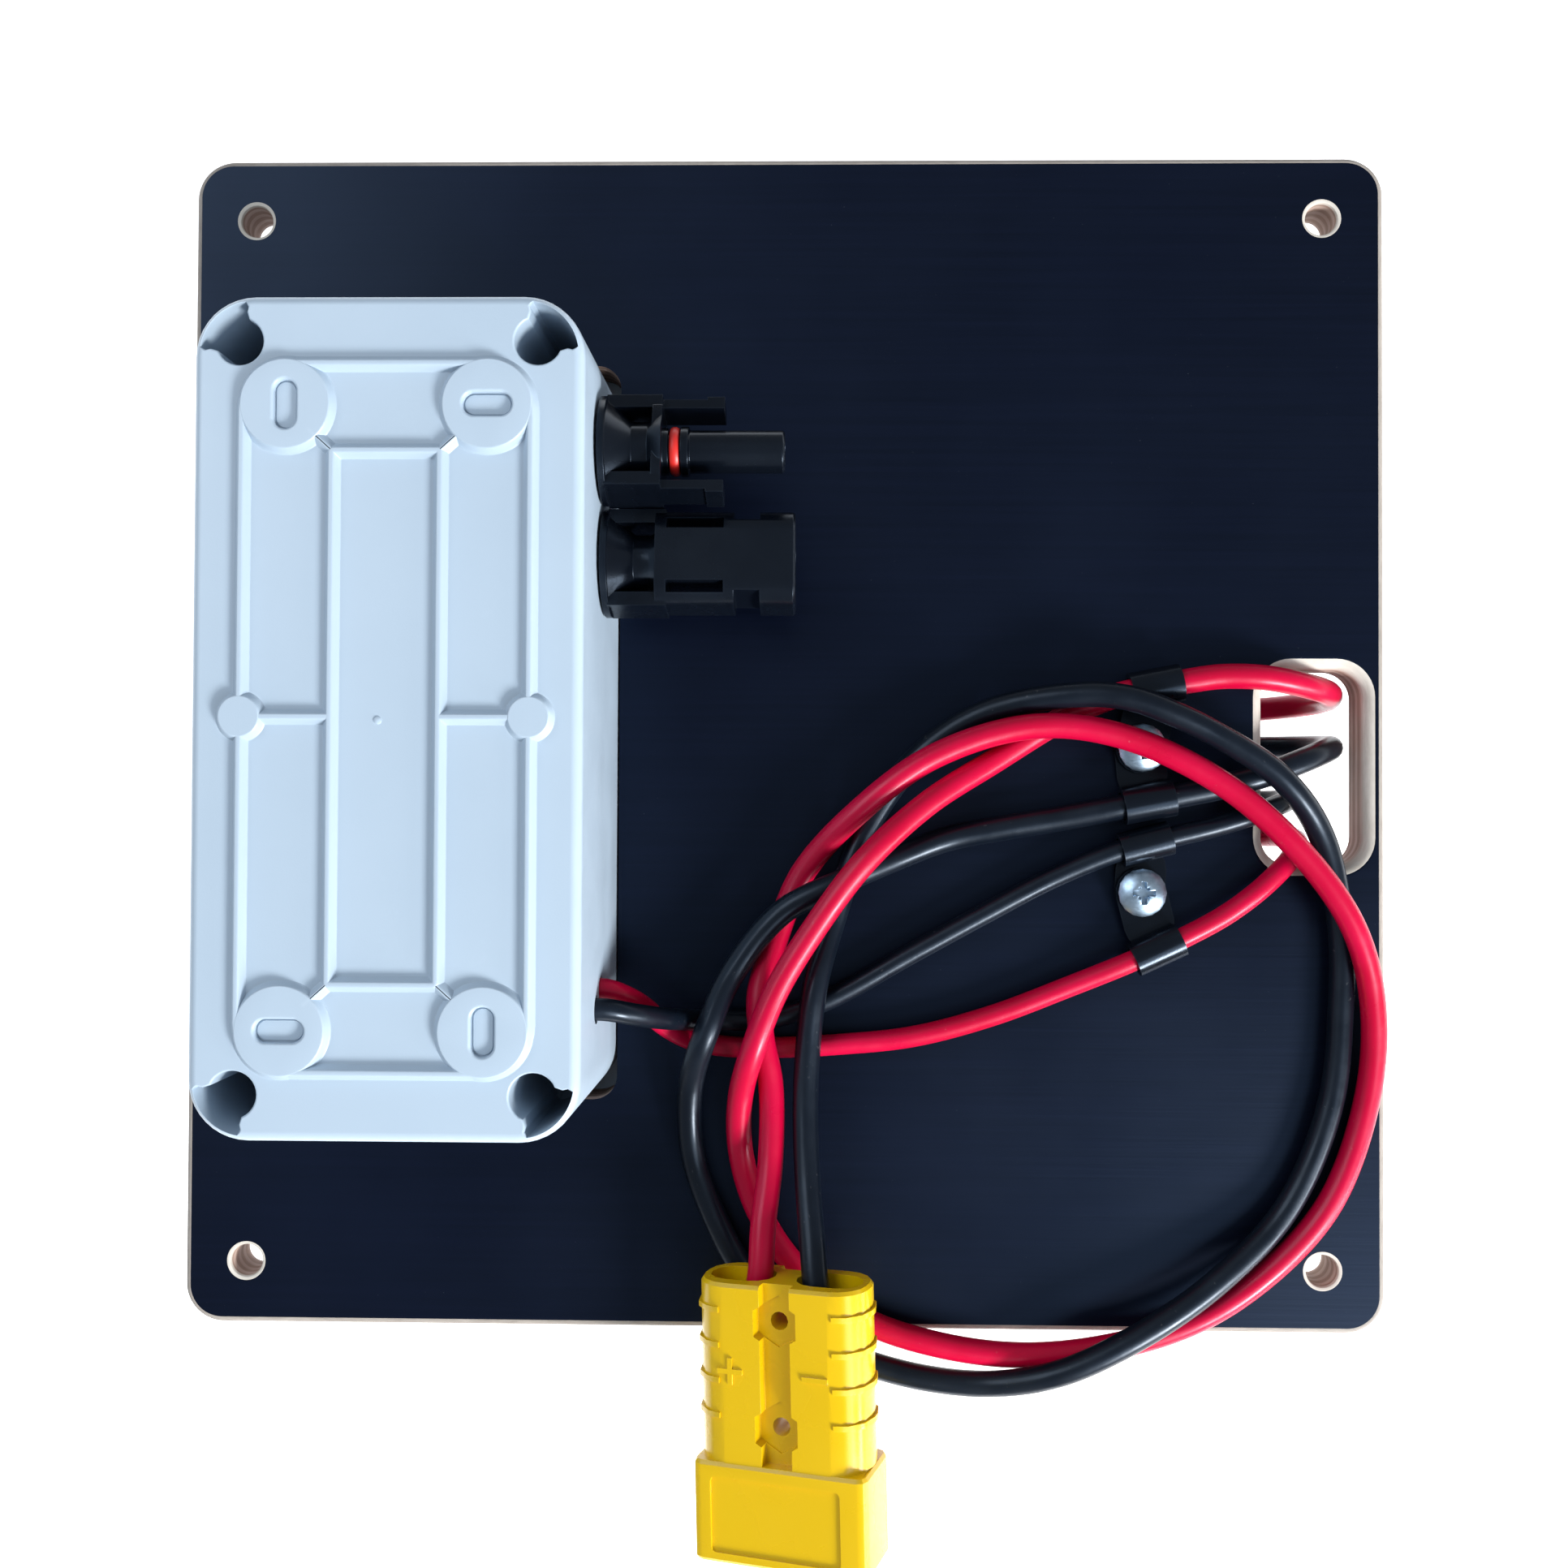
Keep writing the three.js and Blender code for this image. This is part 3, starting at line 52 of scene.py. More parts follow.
ROUTES = {  # in millimetres, as in the CAD part
    "battery_positive": [
        [70.5, 8, 19], [84, 8, 19], [99, 8.3, 19], [108.3, 8.8, 21.5], [115, 9.3, 28.3], [117.5, 9.8, 37.5],
        [115, 10.6, 46.7], [108.3, 11.6, 53.5], [99, 13, 56.2], [90, 13.2, 56.3], [83.5, 12.3, 56.3],
        [76.6, 10.9, 56.3], [69.5, 9.5, 56.3], [61, 6.3, 55.5], [54.5, 2.6, 55.2], [44, -4, 57],
        [29, -13.5, 62.8], [16.5, -25, 66.6], [6.5, -38.5, 66],
        [-1, -51, 65.8], [-5.3, -62, 65.4], [-8.2, -73, 60.5], [-8.3, -85, 56], [-5, -96.5, 55],
        [2, -107.5, 55], [15, -118.3, 55.2], [32, -124.2, 55.3], [53.5, -126.2, 55.2], [78.5, -121.5, 55.1],
        [95.5, -112.5, 55], [112, -95.5, 55], [120.3, -72.5, 55], [120.5, -53, 57.2], [115, -37, 61],
        [103, -21, 62], [87.5, -8, 61.9], [67.5, 1, 61.3], [50.5, 2.5, 61], [31, -3.5, 61], [16, -14.5, 59.8],
        [4, -28, 55.1], [-1.5, -42, 56], [-4.5, -52, 60], [-4, -60.5, 60], [-2, -71, 60], [-2, -85.5, 61.8],
        [-3.3, -97.5, 65.4], [-3.8, -107, 67.2], [-5.4, -115, 67], [-6.8, -124.6, 66.8],
    ],
    "battery_negative": [
        [70.5, 0, 19], [84, 0, 19], [99, 0, 19], [108.3, 0, 21.5], [115, -0.2, 28.3], [117.5, -0.5, 37.5],
        [115.3, -1.2, 46.3], [108.8, -3.4, 53.3], [99.5, -6.8, 56.2], [90, -9.5, 56.3],
        [82, -11.2, 56.3], [75, -12.6, 56.3], [68, -14, 56.3], [58, -16, 55.3], [46.5, -18, 55],
        [34, -20.5, 55], [24, -24.2, 57], [12.5, -29, 60.9],
        [0, -35.5, 60.9], [-10, -48, 61.2], [-15, -59.5, 64.4], [-18.5, -71.5, 58.6], [-18.2, -85.5, 55.1],
        [-13.5, -99, 55], [-5.5, -112.5, 55], [8, -124, 55], [24, -130, 55], [41, -131.8, 56.3],
        [55, -128.6, 60.2], [68.5, -122.5, 61], [87.5, -111, 58.5], [103.5, -96, 55.2], [112.5, -75, 55],
        [114.8, -54.5, 55], [114.6, -37.5, 55.2], [110.5, -20, 57], [101, -8, 61.9], [87.5, 1, 62.6],
        [79, 5, 63.3], [70, 8.2, 63.2], [60, 9, 61.4], [41.5, 5.5, 57], [28, -3.5, 55], [17, -19, 55.1],
        [10.5, -37.5, 55.3],
        [7, -50, 59.6], [5.5, -62.5, 60], [5, -75, 61], [5.5, -88.5, 64], [6.5, -99.5, 69],
        [7.2, -107, 71.2], [8.9, -115, 72], [10.5, -124.3, 72.4],
    ],
    "solar_negative": [
        [-79.5, -34.5, 58], [-79.5, -42, 58.5], [-78.2, -48.5, 62.5], [-73, -53, 69.5], [-63, -54.5, 76.5],
        [-52, -53.2, 79.9], [-42, -53, 80], [-33, -53, 80], [-28, -54.3, 76.7], [-23.3, -56, 69],
        [-19.3, -57.3, 61], [-13, -58, 56], [-3, -57.8, 54.8], [9, -54, 54.7], [27, -44, 54.7],
        [41.5, -36, 54.7], [56, -28.3, 55], [69, -22.8, 55.9], [74.6, -21.3, 55.9], [80.2, -19.8, 55.9],
        [89, -17.6, 55.7], [96.5, -15.3, 55.1], [103.2, -13, 51.9], [107.2, -12, 45.5], [108.3, -12, 38.5],
        [106, -12, 30], [99.5, -12, 22.5], [90, -12, 19.2], [80, -12, 19], [70.5, -12, 19],
    ],
    "solar_positive": [
        [-61.5, -34.5, 58], [-61.5, -41.5, 58.4], [-59.5, -46.6, 62], [-55, -49, 68], [-49, -49.8, 73],
        [-42, -49.8, 74], [-34.2, -49.8, 74], [-30.2, -51.8, 69.8], [-27.3, -54.7, 64], [-23.5, -59.2, 58],
        [-18, -62.4, 55.2], [-10, -63.7, 54.7], [0, -63.7, 54.7], [12, -63, 54.7], [27, -61.3, 54.7],
        [43, -57, 54.7], [59.5, -50.6, 55], [71.6, -45.5, 55.9], [77, -43, 55.9], [82.4, -40.5, 55.9],
        [91, -35.8, 55.8], [98.5, -30.2, 55.6], [104.7, -24.4, 53.9], [108, -21, 48], [109, -20, 39.5],
        [106.5, -20, 30], [100, -20, 22.7], [90.5, -20, 19.2], [80, -20, 19], [70.5, -20, 19],
    ],
    "inlet_positive": [
        [-42.2, 54.3, 79], [-50, 54.8, 79.2], [-62, 57, 77.5], [-72, 58.5, 72], [-78, 57.5, 65],
        [-79.5, 53, 59.5], [-79.5, 48, 58], [-79.5, 43, 58], [-79.5, 36, 58],
    ],
    "inlet_negative": [
        [-42.4, 33.35, 74], [-44.3, 33.4, 74], [-47.4, 35.4, 74], [-48.8, 40.3, 74], [-49.2, 47, 72.6],
        [-50.6, 52.5, 69.6], [-54, 56.4, 65], [-58.6, 56.6, 60.4], [-61.2, 53, 58.3], [-61.5, 48.5, 58],
        [-61.5, 43, 58], [-61.5, 36, 58],
    ],
}


# ---- camera: above the board's back, as in the photograph ----
def make_camera():
    data = bpy.data.cameras.new("camera")
    data.lens = 36
    data.sensor_width = 36
    data.clip_start = 0.01
    camera = bpy.data.objects.new("camera", data)
    camera.location = (0.0065, -0.0146, 0.3798)
    camera.rotation_euler = [math.radians(a) for a in (0.95, 1.10, 0.27)]
    bpy.context.collection.objects.link(camera)
    bpy.context.scene.camera = camera


make_camera()


# ---- shader building ----
class Shader:
    """A node material with short ways to add nodes; every pattern is in object space, in metres."""

    def __init__(self, name):
        self.material = bpy.data.materials.new(name)
        self.material.use_nodes = True
        self.tree = self.material.node_tree
        self.bsdf = self.tree.nodes["Principled BSDF"]
        self.space = self.add("ShaderNodeTexCoord").outputs["Object"]

    def add(self, kind, inputs=None, **settings):
        node = self.tree.nodes.new(kind)
        for key, value in settings.items():
            setattr(node, key, value)
        for key, value in (inputs or {}).items():
            if isinstance(value, bpy.types.NodeSocket):
                self.tree.links.new(value, node.inputs[key])
            else:
                node.inputs[key].default_value = value
        return node

    def set(self, key, value):
        if isinstance(value, bpy.types.NodeSocket):
            self.tree.links.new(value, self.bsdf.inputs[key])
        else:
            self.bsdf.inputs[key].default_value = value

    def stretched(self, scale):
        return self.add("ShaderNodeMapping", {"Vector": self.space, "Scale": scale}).outputs[0]

    def noise(self, scale, detail=2.0, rough=0.5, vector=None, seed=0.0):
        node = self.add(
            "ShaderNodeTexNoise",
            {"Vector": vector or self.space, "W": seed, "Scale": scale, "Detail": detail, "Roughness": rough},
            noise_dimensions="4D",
        )
        return node.outputs["Fac"]

    def remap(self, value, low, high, to_low=0.0, to_high=1.0):
        node = self.add(
            "ShaderNodeMapRange",
            {0: value, "From Min": low, "From Max": high, "To Min": to_low, "To Max": to_high},
        )
        return node.outputs[0]

    def math(self, operation, a, b=0.0):
        return self.add("ShaderNodeMath", {0: a, 1: b}, operation=operation).outputs[0]

    def mix(self, fac, a, b):
        node = self.add("ShaderNodeMix", data_type="RGBA")
        for index, value in ((0, fac), (6, a), (7, b)):
            if isinstance(value, bpy.types.NodeSocket):
                self.tree.links.new(value, node.inputs[index])
            else:
                node.inputs[index].default_value = value if index == 0 else (*value[:3], 1.0)
        return node.outputs[2]

    def bump(self, height, strength, distance, normal=None):
        inputs = {"Height": height, "Strength": strength, "Distance": distance}
        if normal is not None:
            inputs["Normal"] = normal
        return self.add("ShaderNodeBump", inputs).outputs[0]

    def axis(self, name):
        return self.add("ShaderNodeSeparateXYZ", {0: self.space}).outputs[name]

    def edges(self, radius):
        """1 on sharp convex or concave edges and 0 on flats."""
        bevel = self.add("ShaderNodeBevel", {"Radius": radius}, samples=4).outputs[0]
        normal = self.add("ShaderNodeNewGeometry").outputs["Normal"]
        dot = self.add("ShaderNodeVectorMath", {0: bevel, 1: normal}, operation="DOT_PRODUCT")
        return self.remap(dot.outputs["Value"], 0.995, 0.85)


def moulded(name, color, light, rough, grain=0.12, edge_highlight_and_wear=0.25, spec=0.5, coat=0.0, sheen=(1, 1, 1)):
    """Moulded plastic: slow colour drift, fine grain, uneven gloss, and paler edges that are a painted
    highlight along sharp edges, partly also wear.
    """
    s = Shader(name)
    drift = s.noise(38, 3, seed=1.3)
    base = s.mix(s.remap(drift, 0.3, 0.7), color, [0.85 * c + 0.15 * l for c, l in zip(color, light)])
    scuffs = s.remap(s.noise(160, 6, 0.7, seed=4.1), 0.62, 0.8, 0.0, 0.2)
    base = s.mix(scuffs, base, light)
    # paler sharp edges, convex and concave alike: a painted edge highlight, partly also rubbed wear
    base = s.mix(s.math("MULTIPLY", s.edges(0.0006), edge_highlight_and_wear), base, light)
    s.set("Base Color", base)
    s.set("Roughness", s.remap(s.noise(90, 4, seed=2.2), 0.3, 0.7, rough - 0.06, rough + 0.08))
    fine = s.noise(2600, 3, seed=3.0)
    s.set("Normal", s.bump(fine, grain, 0.00012))
    s.set("Specular IOR Level", spec)
    s.set("Specular Tint", (*sheen, 1))
    s.set("Coat Weight", coat)
    return s.material


def sheath(name, color, light, sheen):
    """Lead insulation: smooth, slightly uneven and a little dusty."""
    rough = 0.33
    s = Shader(name)
    drift = s.noise(60, 3, seed=0.7)
    base = s.mix(s.remap(drift, 0.3, 0.7), color, light)
    dust = s.remap(s.noise(900, 2, 0.6, seed=5.0), 0.68, 0.8, 0.0, 0.12)
    s.set("Base Color", s.mix(dust, base, (0.4, 0.4, 0.42)))
    s.set("Roughness", s.remap(s.noise(140, 3, seed=6.0), 0.3, 0.7, rough - 0.07, rough + 0.1))
    uneven = s.bump(s.noise(230, 2, seed=8.0), 0.25, 0.0003)
    s.set("Normal", s.bump(s.noise(1900, 2, seed=9.0), 0.08, 0.0001, uneven))
    s.set("Specular IOR Level", 0.3)
    s.set("Specular Tint", (*sheen, 1))
    s.set("Coat Weight", 0.08)
    s.set("Coat Roughness", 0.2)
    return s.material


def plated(name, color, dull, rough, grain=0.1):
    """Plated or bare metal: mottled plating, small scratches and dulled patches."""
    s = Shader(name)
    s.set("Metallic", 1.0)
    patches = s.remap(s.noise(420, 4, 0.6, seed=2.0), 0.4, 0.7)
    s.set("Base Color", s.mix(patches, color, dull))
    scratch = s.noise(900, 4, 0.6, vector=s.stretched((1, 14, 1)), seed=3.0)
    s.set("Roughness", s.remap(scratch, 0.3, 0.7, rough - 0.08, rough + 0.14))
    s.set("Normal", s.bump(scratch, grain, 0.00008))
    return s.material


PLY_PAIR = 0.0029  # thickness of one pale and one dark ply
OUTER_X, OUTER_Y, OUTER_SUM = 0.1233, 0.1208, 0.235  # past one of these lies the board's outer edge


def board_material():
    """Dark resin film on both faces; on chamfers, edges and hole walls the plies show, with the hole walls
    darkened by painted shade.
    """
    s = Shader("board_film")
    z = s.axis("Z")
    normal = s.add("ShaderNodeNewGeometry").outputs["True Normal"]
    local = s.add(
        "ShaderNodeVectorTransform", {0: normal},
        vector_type="NORMAL", convert_from="WORLD", convert_to="OBJECT",
    ).outputs[0]
    up = s.math("ABSOLUTE", s.add("ShaderNodeSeparateXYZ", {0: local}).outputs["Z"])
    is_film = s.math("GREATER_THAN", up, 0.985)

    lines = s.noise(300, 3, 0.6, vector=s.stretched((0.06, 3.4, 1)), seed=1.0)
    cloudy = s.noise(14, 4, 0.55, seed=2.0)
    film = s.mix(s.remap(lines, 0.3, 0.75), (0.0006, 0.0012, 0.0046), (0.0016, 0.0026, 0.0090))
    film = s.mix(s.remap(cloudy, 0.35, 0.7, 0.0, 0.5), film, (0.0028, 0.0048, 0.0140))
    specks = s.remap(s.noise(1500, 2, 0.7, seed=3.0), 0.71, 0.77, 0.0, 0.4)
    film = s.mix(specks, film, (0.10, 0.12, 0.15))

    wobble = s.math("MULTIPLY", s.noise(45, 3, seed=4.0), 0.0006)
    height = s.math("ADD", z, wobble)
    band = s.math("SINE", s.math("MULTIPLY", height, 2 * math.pi / PLY_PAIR))
    grain = s.noise(700, 5, 0.7, vector=s.stretched((0.3, 0.3, 2.5)), seed=5.0)
    x, y = s.math("ABSOLUTE", s.axis("X")), s.math("ABSOLUTE", s.axis("Y"))
    inside = s.math("MULTIPLY", s.math("LESS_THAN", x, OUTER_X), s.math("LESS_THAN", y, OUTER_Y))
    inside = s.math("MULTIPLY", inside, s.math("LESS_THAN", s.math("ADD", x, y), OUTER_SUM))
    fibre = s.remap(grain, 0.3, 0.75)
    ply = s.remap(band, -0.3, 0.5)
    outer_dark = s.mix(fibre, (0.30, 0.23, 0.17), (0.40, 0.32, 0.25))
    outer_pale = s.mix(fibre, (0.46, 0.40, 0.33), (0.58, 0.52, 0.45))
    outer = s.mix(ply, outer_dark, outer_pale)
    # walls of the holes, the slot and the box's cut-out get darker, redder plies: painted shade down in the
    # holes
    inner_dark_painted_shade = s.mix(fibre, (0.26, 0.17, 0.13), (0.36, 0.25, 0.20))
    inner_pale_painted_shade = s.mix(fibre, (0.40, 0.29, 0.24), (0.50, 0.39, 0.33))
    inner = s.mix(ply, inner_dark_painted_shade, inner_pale_painted_shade)
    outer_chamfer = s.mix(fibre, (0.26, 0.23, 0.20), (0.40, 0.36, 0.32))
    inner_chamfer = s.mix(fibre, (0.50, 0.46, 0.40), (0.66, 0.62, 0.56))
    cut_edge = s.mix(inside, outer_chamfer, inner_chamfer)
    # inside the outer edge the walls take the painted-shade plies
    wood = s.mix(s.remap(up, 0.15, 0.4), s.mix(inside, outer, inner), cut_edge)
    s.set("Base Color", s.mix(is_film, wood, film))
    gloss = s.remap(s.noise(22, 4, seed=6.0), 0.3, 0.7, 0.30, 0.42)
    s.set("Roughness", s.add("ShaderNodeMix", {0: is_film, 2: 0.75, 3: gloss}).outputs[0])
    s.set("Specular Tint", (0.42, 0.62, 1.0, 1))
    relief = s.add("ShaderNodeMix", {0: is_film, 2: grain, 3: lines}).outputs[0]
    s.set("Normal", s.bump(relief, 0.10, 0.0002))
    s.set("Specular IOR Level", 0.3)
    return s.material


def clear_material():
    s = Shader("clear_plastic")
    haze = s.noise(120, 4, seed=1.0)
    s.set("Base Color", s.mix(s.remap(haze, 0.3, 0.7), (0.45, 0.55, 0.6), (0.55, 0.64, 0.68)))
    s.set("Roughness", s.remap(haze, 0.3, 0.7, 0.05, 0.16))
    s.set("Transmission Weight", 0.85)
    s.set("Normal", s.bump(s.noise(500, 2, seed=2.0), 0.04, 0.0001))
    return s.material


MATERIALS = {
    "board_film": board_material(),
    "grey_plastic": moulded("grey_plastic", (0.385, 0.48, 0.58), (0.49, 0.59, 0.69), 0.38, 0.12, 0.3),
    "black_plastic": moulded(
        "black_plastic", (0.0012, 0.0020, 0.0042), (0.012, 0.017, 0.026),
        0.24, 0.10, 0.25, 0.34, sheen=(0.62, 0.78, 1.0),
    ),
    "clear_plastic": clear_material(),
    "black_rubber": moulded("black_rubber", (0.012, 0.012, 0.013), (0.05, 0.05, 0.05), 0.7, 0.3, 0.1, 0.3),
    "red_rubber": moulded("red_rubber", (0.62, 0.020, 0.016), (0.75, 0.07, 0.05), 0.4, 0.15, 0.1),
    "red_insulation": sheath(
        "red_insulation", (0.43, 0.0004, 0.026), (0.52, 0.0012, 0.040), (1.0, 0.6, 0.75),
    ),
    "black_insulation": sheath(
        "black_insulation", (0.0016, 0.0032, 0.0070), (0.0045, 0.0075, 0.0135), (0.65, 0.8, 1.0),
    ),
    "yellow_plastic": moulded(
        "yellow_plastic", (0.70, 0.44, 0.0), (0.78, 0.53, 0.01), 0.28, 0.10, 0.2, 0.45, 0.1,
    ),
    "zinc_steel": plated("zinc_steel", (0.42, 0.55, 0.68), (0.26, 0.36, 0.47), 0.34),
    "plated_copper": plated("plated_copper", (0.80, 0.62, 0.46), (0.58, 0.42, 0.30), 0.3),
    "aluminium": plated("aluminium", (0.68, 0.70, 0.72), (0.5, 0.52, 0.54), 0.38),
    "white_plastic": moulded("white_plastic", (0.72, 0.72, 0.69), (0.82, 0.82, 0.8), 0.4),
    "green_laminate": moulded("green_laminate", (0.02, 0.13, 0.06), (0.05, 0.22, 0.11), 0.25, 0.2, 0.1),
    "dark_plastic": moulded("dark_plastic", (0.035, 0.05, 0.066), (0.10, 0.125, 0.15), 0.5, 0.35, 0.3),
    "blue_plastic": moulded("blue_plastic", (0.03, 0.11, 0.32), (0.09, 0.2, 0.45), 0.32),
}
SLOT_OF = {entry["node"]: entry["material_slot"] for entry in frame["record"]["subparts"]}


# ---- the leads: smooth curves of their real length ----
def spline_points(points, step=0.0011):
    """Centripetal Catmull-Rom through the points, as the CAD solids follow."""
    p = [Vector(q) for q in points]
    p = [2 * p[0] - p[1], *p, 2 * p[-1] - p[-2]]
    found = []
    for i in range(1, len(p) - 2):
        a, b, c, d = p[i - 1 : i + 3]
        d0, d1, d2 = (max((v - u).length, 1e-9) ** 0.5 for u, v in ((a, b), (b, c), (c, d)))
        t1 = ((b - a) / d0 - (c - a) / (d0 + d1) + (c - b) / d1) * d1
        t2 = ((c - b) / d1 - (d - b) / (d1 + d2) + (d - c) / d2) * d1
        count = max(2, int((c - b).length / step))
        for k in range(count):
            t = k / count
            found.append(
                b * (2 * t**3 - 3 * t**2 + 1) + t1 * (t**3 - 2 * t**2 + t)
                + c * (-2 * t**3 + 3 * t**2) + t2 * (t**3 - t**2)
            )
    found.append(p[-2])
    return found


def length_of(points):
    return sum((b - a).length for a, b in zip(points, points[1:]))


def lead(name, node, route, diameter, material):
    points = spline_points([[c * MM for c in q] for q in ROUTES[route]])
    data = bpy.data.curves.new(name, "CURVE")
    data.dimensions = "3D"
    data.bevel_depth = diameter / 2
    data.bevel_resolution = 6
    data.use_fill_caps = True
    spline = data.splines.new("POLY")
    spline.points.add(len(points) - 1)
    for point, at in zip(spline.points, points):
        point.co = (*at, 1.0)
    spline.use_smooth = True
    obj = bpy.data.objects.new(name, data)
    bpy.context.collection.objects.link(obj)
    data.materials.append(MATERIALS[material])
    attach(obj, ROOT)
    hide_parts(node)
    return obj, length_of(points)


red_lead, red_length = lead(
    "battery_lead_red", "battery_lead_positive", "battery_positive", THICK_LEAD, "red_insulation",
)
black_lead, black_length = lead(
    "battery_lead_black", "battery_lead_negative", "battery_negative", THICK_LEAD, "black_insulation",
)
lead("solar_lead_black", "solar_lead_negative", "solar_negative", THIN_LEAD, "black_insulation")
lead("solar_lead_red", "solar_lead_positive", "solar_positive", THIN_LEAD, "red_insulation")
lead("inlet_lead_red", "inlet_lead_positive", "inlet_positive", INLET_LEAD, "red_insulation")
lead("inlet_lead_black", "inlet_lead_negative", "inlet_negative", INLET_LEAD, "black_insulation")


# ---- carried-over nodes, refined with real bevels ----
def finished(name, mesh, node, body):
    """A new piece from a mesh, which stands for a CAD node."""
    obj = bpy.data.objects.new(name, mesh)
    bpy.context.collection.objects.link(obj)
    slot = SLOT_OF[node]
    mesh.materials.clear()
    mesh.materials.append(MATERIALS[slot])
    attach(obj, body)
    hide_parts(node)
    return obj


def baked(obj):
    """The mesh of a temporary object with its modifiers applied; the object is removed."""
    graph = bpy.context.evaluated_depsgraph_get()
    mesh = bpy.data.meshes.new_from_object(obj.evaluated_get(graph))
    old = obj.data
    bpy.data.objects.remove(obj)
    bpy.data.meshes.remove(old)
    return mesh


def weighted(mesh, name, node, body=ROOT, angle=38):
    """A finished piece, smooth up to an edge angle, whose flats stay flat beside rounded edges."""
    mesh.polygons.foreach_set("use_smooth", [True] * len(mesh.polygons))
    mesh.set_sharp_from_angle(angle=math.radians(angle))
    obj = bpy.data.objects.new("work", mesh)
    bpy.context.collection.objects.link(obj)
    modifier = obj.modifiers.new("weighted", "WEIGHTED_NORMAL")
    modifier.keep_sharp = True
    return finished(name, baked(obj), node, body)


EDGE_ANGLE = 32  # degrees; sharper edges are rounded and shaded as edges


def refine(node, body, bevel, segments):
    """A copy of a CAD node with its flat faces merged, its edges rounded and its curves shaded smooth."""
    mesh = NODES[node].data.copy()
    bm = bmesh.new()
    bm.from_mesh(mesh)
    bmesh.ops.remove_doubles(bm, verts=bm.verts, dist=1e-6)
    bmesh.ops.dissolve_limit(bm, angle_limit=math.radians(0.6), verts=bm.verts, edges=bm.edges)
    bm.to_mesh(mesh)
    bm.free()
    obj = bpy.data.objects.new("work", mesh)
    bpy.context.collection.objects.link(obj)
    modifier = obj.modifiers.new("bevel", "BEVEL")
    modifier.width = bevel * MM
    modifier.segments = segments
    modifier.limit_method = "ANGLE"
    modifier.angle_limit = math.radians(EDGE_ANGLE)
    modifier.miter_outer = "MITER_ARC"
    return weighted(baked(obj), node + "_piece", node, body, EDGE_ANGLE)


# ---- the breaker box's base: high-resolution shell, ribs, bosses and corner pockets ----
BOX_X, BOX_Y = -70.5, 1.7
BOX_WIDTH, BOX_HEIGHT, BOX_CORNER = 70.8, 152.4, 11
BOX_FRONT, BOX_BACK, BOX_FILLET = 37, 100.4, 2.0
BOARD_FRONT, BOARD_BACK = 40, 52
FLANGE_WIDTH, FLANGE_HEIGHT = 92, 172
POCKET_DEPTH = 38
RIB_WIDTH, RIB_TOP = 2.3, 101.92
RIB_FOOT = BOX_BACK - 0.15  # ribs, discs and bosses start just inside the box's back
FRAME_X, FRAME_Y = 26, 63.5  # half sizes of the outer rib frame, over the ribs' middles
PANEL_X, PANEL_Y = 9.75, 47.8  # and of the inner one
BOSS_X, BOSS_Y = 18.2, 56.1  # from the box's centre
BOSS_RADIUS, BOSS_TOP = 8.6, 102.0
SLOT_LENGTH, SLOT_WIDTH = 8.9, 4.2


ROUND = 48  # points on a circle


def rounded(width, height, radius, x=BOX_X, y=BOX_Y, steps=10):
    """Points of a rounded rectangle, counter-clockwise, in millimetres."""
    radius = max(radius, 0.15)
    points = []
    for quarter, (sx, sy) in enumerate([(1, 1), (-1, 1), (-1, -1), (1, -1)]):
        for i in range(steps + 1):
            angle = (quarter + i / steps) * math.pi / 2
            points.append((
                x + sx * (width / 2 - radius) + radius * math.cos(angle),
                y + sy * (height / 2 - radius) + radius * math.sin(angle),
            ))
    return points


def circle(radius, x, y, count=ROUND):
    return [
        (x + radius * math.cos(2 * math.pi * i / count), y + radius * math.sin(2 * math.pi * i / count))
        for i in range(count)
    ]


def stack(bm, levels, ring=False):
    """Adds a surface through [outline, z] levels with equally many points, capped or closed as a ring."""
    rows = [[bm.verts.new((x * MM, y * MM, z * MM)) for x, y in outline] for outline, z in levels]
    pairs = list(zip(rows, rows[1:])) + ([(rows[-1], rows[0])] if ring else [])
    for low, high in pairs:
        for i in range(len(low)):
            j = (i + 1) % len(low)
            bm.faces.new((low[i], low[j], high[j], high[i]))
    if not ring:
        bm.faces.new(list(reversed(rows[0])))
        bm.faces.new(rows[-1])


def rib_side(top):
    """(inset, z) up one side of a rib: a small fillet at its foot and a rounded shoulder."""
    return [
        (-0.45, RIB_FOOT), (-0.18, RIB_FOOT + 0.26), (0.02, RIB_FOOT + 0.5),
        (0.5, top - 0.35), (0.66, top - 0.11), (0.88, top),
    ]


def rib_frame(bm, half_x, half_y, corner, top):
    w = RIB_WIDTH
    outer = rib_side(top)
    inner = [(w - inset, z) for inset, z in reversed(outer)]
    stack(bm, [
        (rounded(2 * half_x + w - 2 * inset, 2 * half_y + w - 2 * inset, corner + w / 2 - inset), z)
        for inset, z in outer + inner
    ], ring=True)


def rib_bar(bm, x0, y0, x1, y1, width, top):
    """A straight rib between two points, given from the box's centre."""
    length = math.hypot(x1 - x0, y1 - y0)
    turn = math.atan2(y1 - y0, x1 - x0)
    c, s = math.cos(turn), math.sin(turn)
    middle_x, middle_y = BOX_X + (x0 + x1) / 2, BOX_Y + (y0 + y1) / 2
    levels = []
    for inset, z in rib_side(top):
        flat = rounded(length, width - 2 * inset, 0.2, 0, 0, 2)
        levels.append(([(middle_x + x * c - y * s, middle_y + x * s + y * c) for x, y in flat], z))
    stack(bm, levels)


def side_of(value, tiny):
    return 0 if abs(value) <= tiny else math.copysign(1, value)


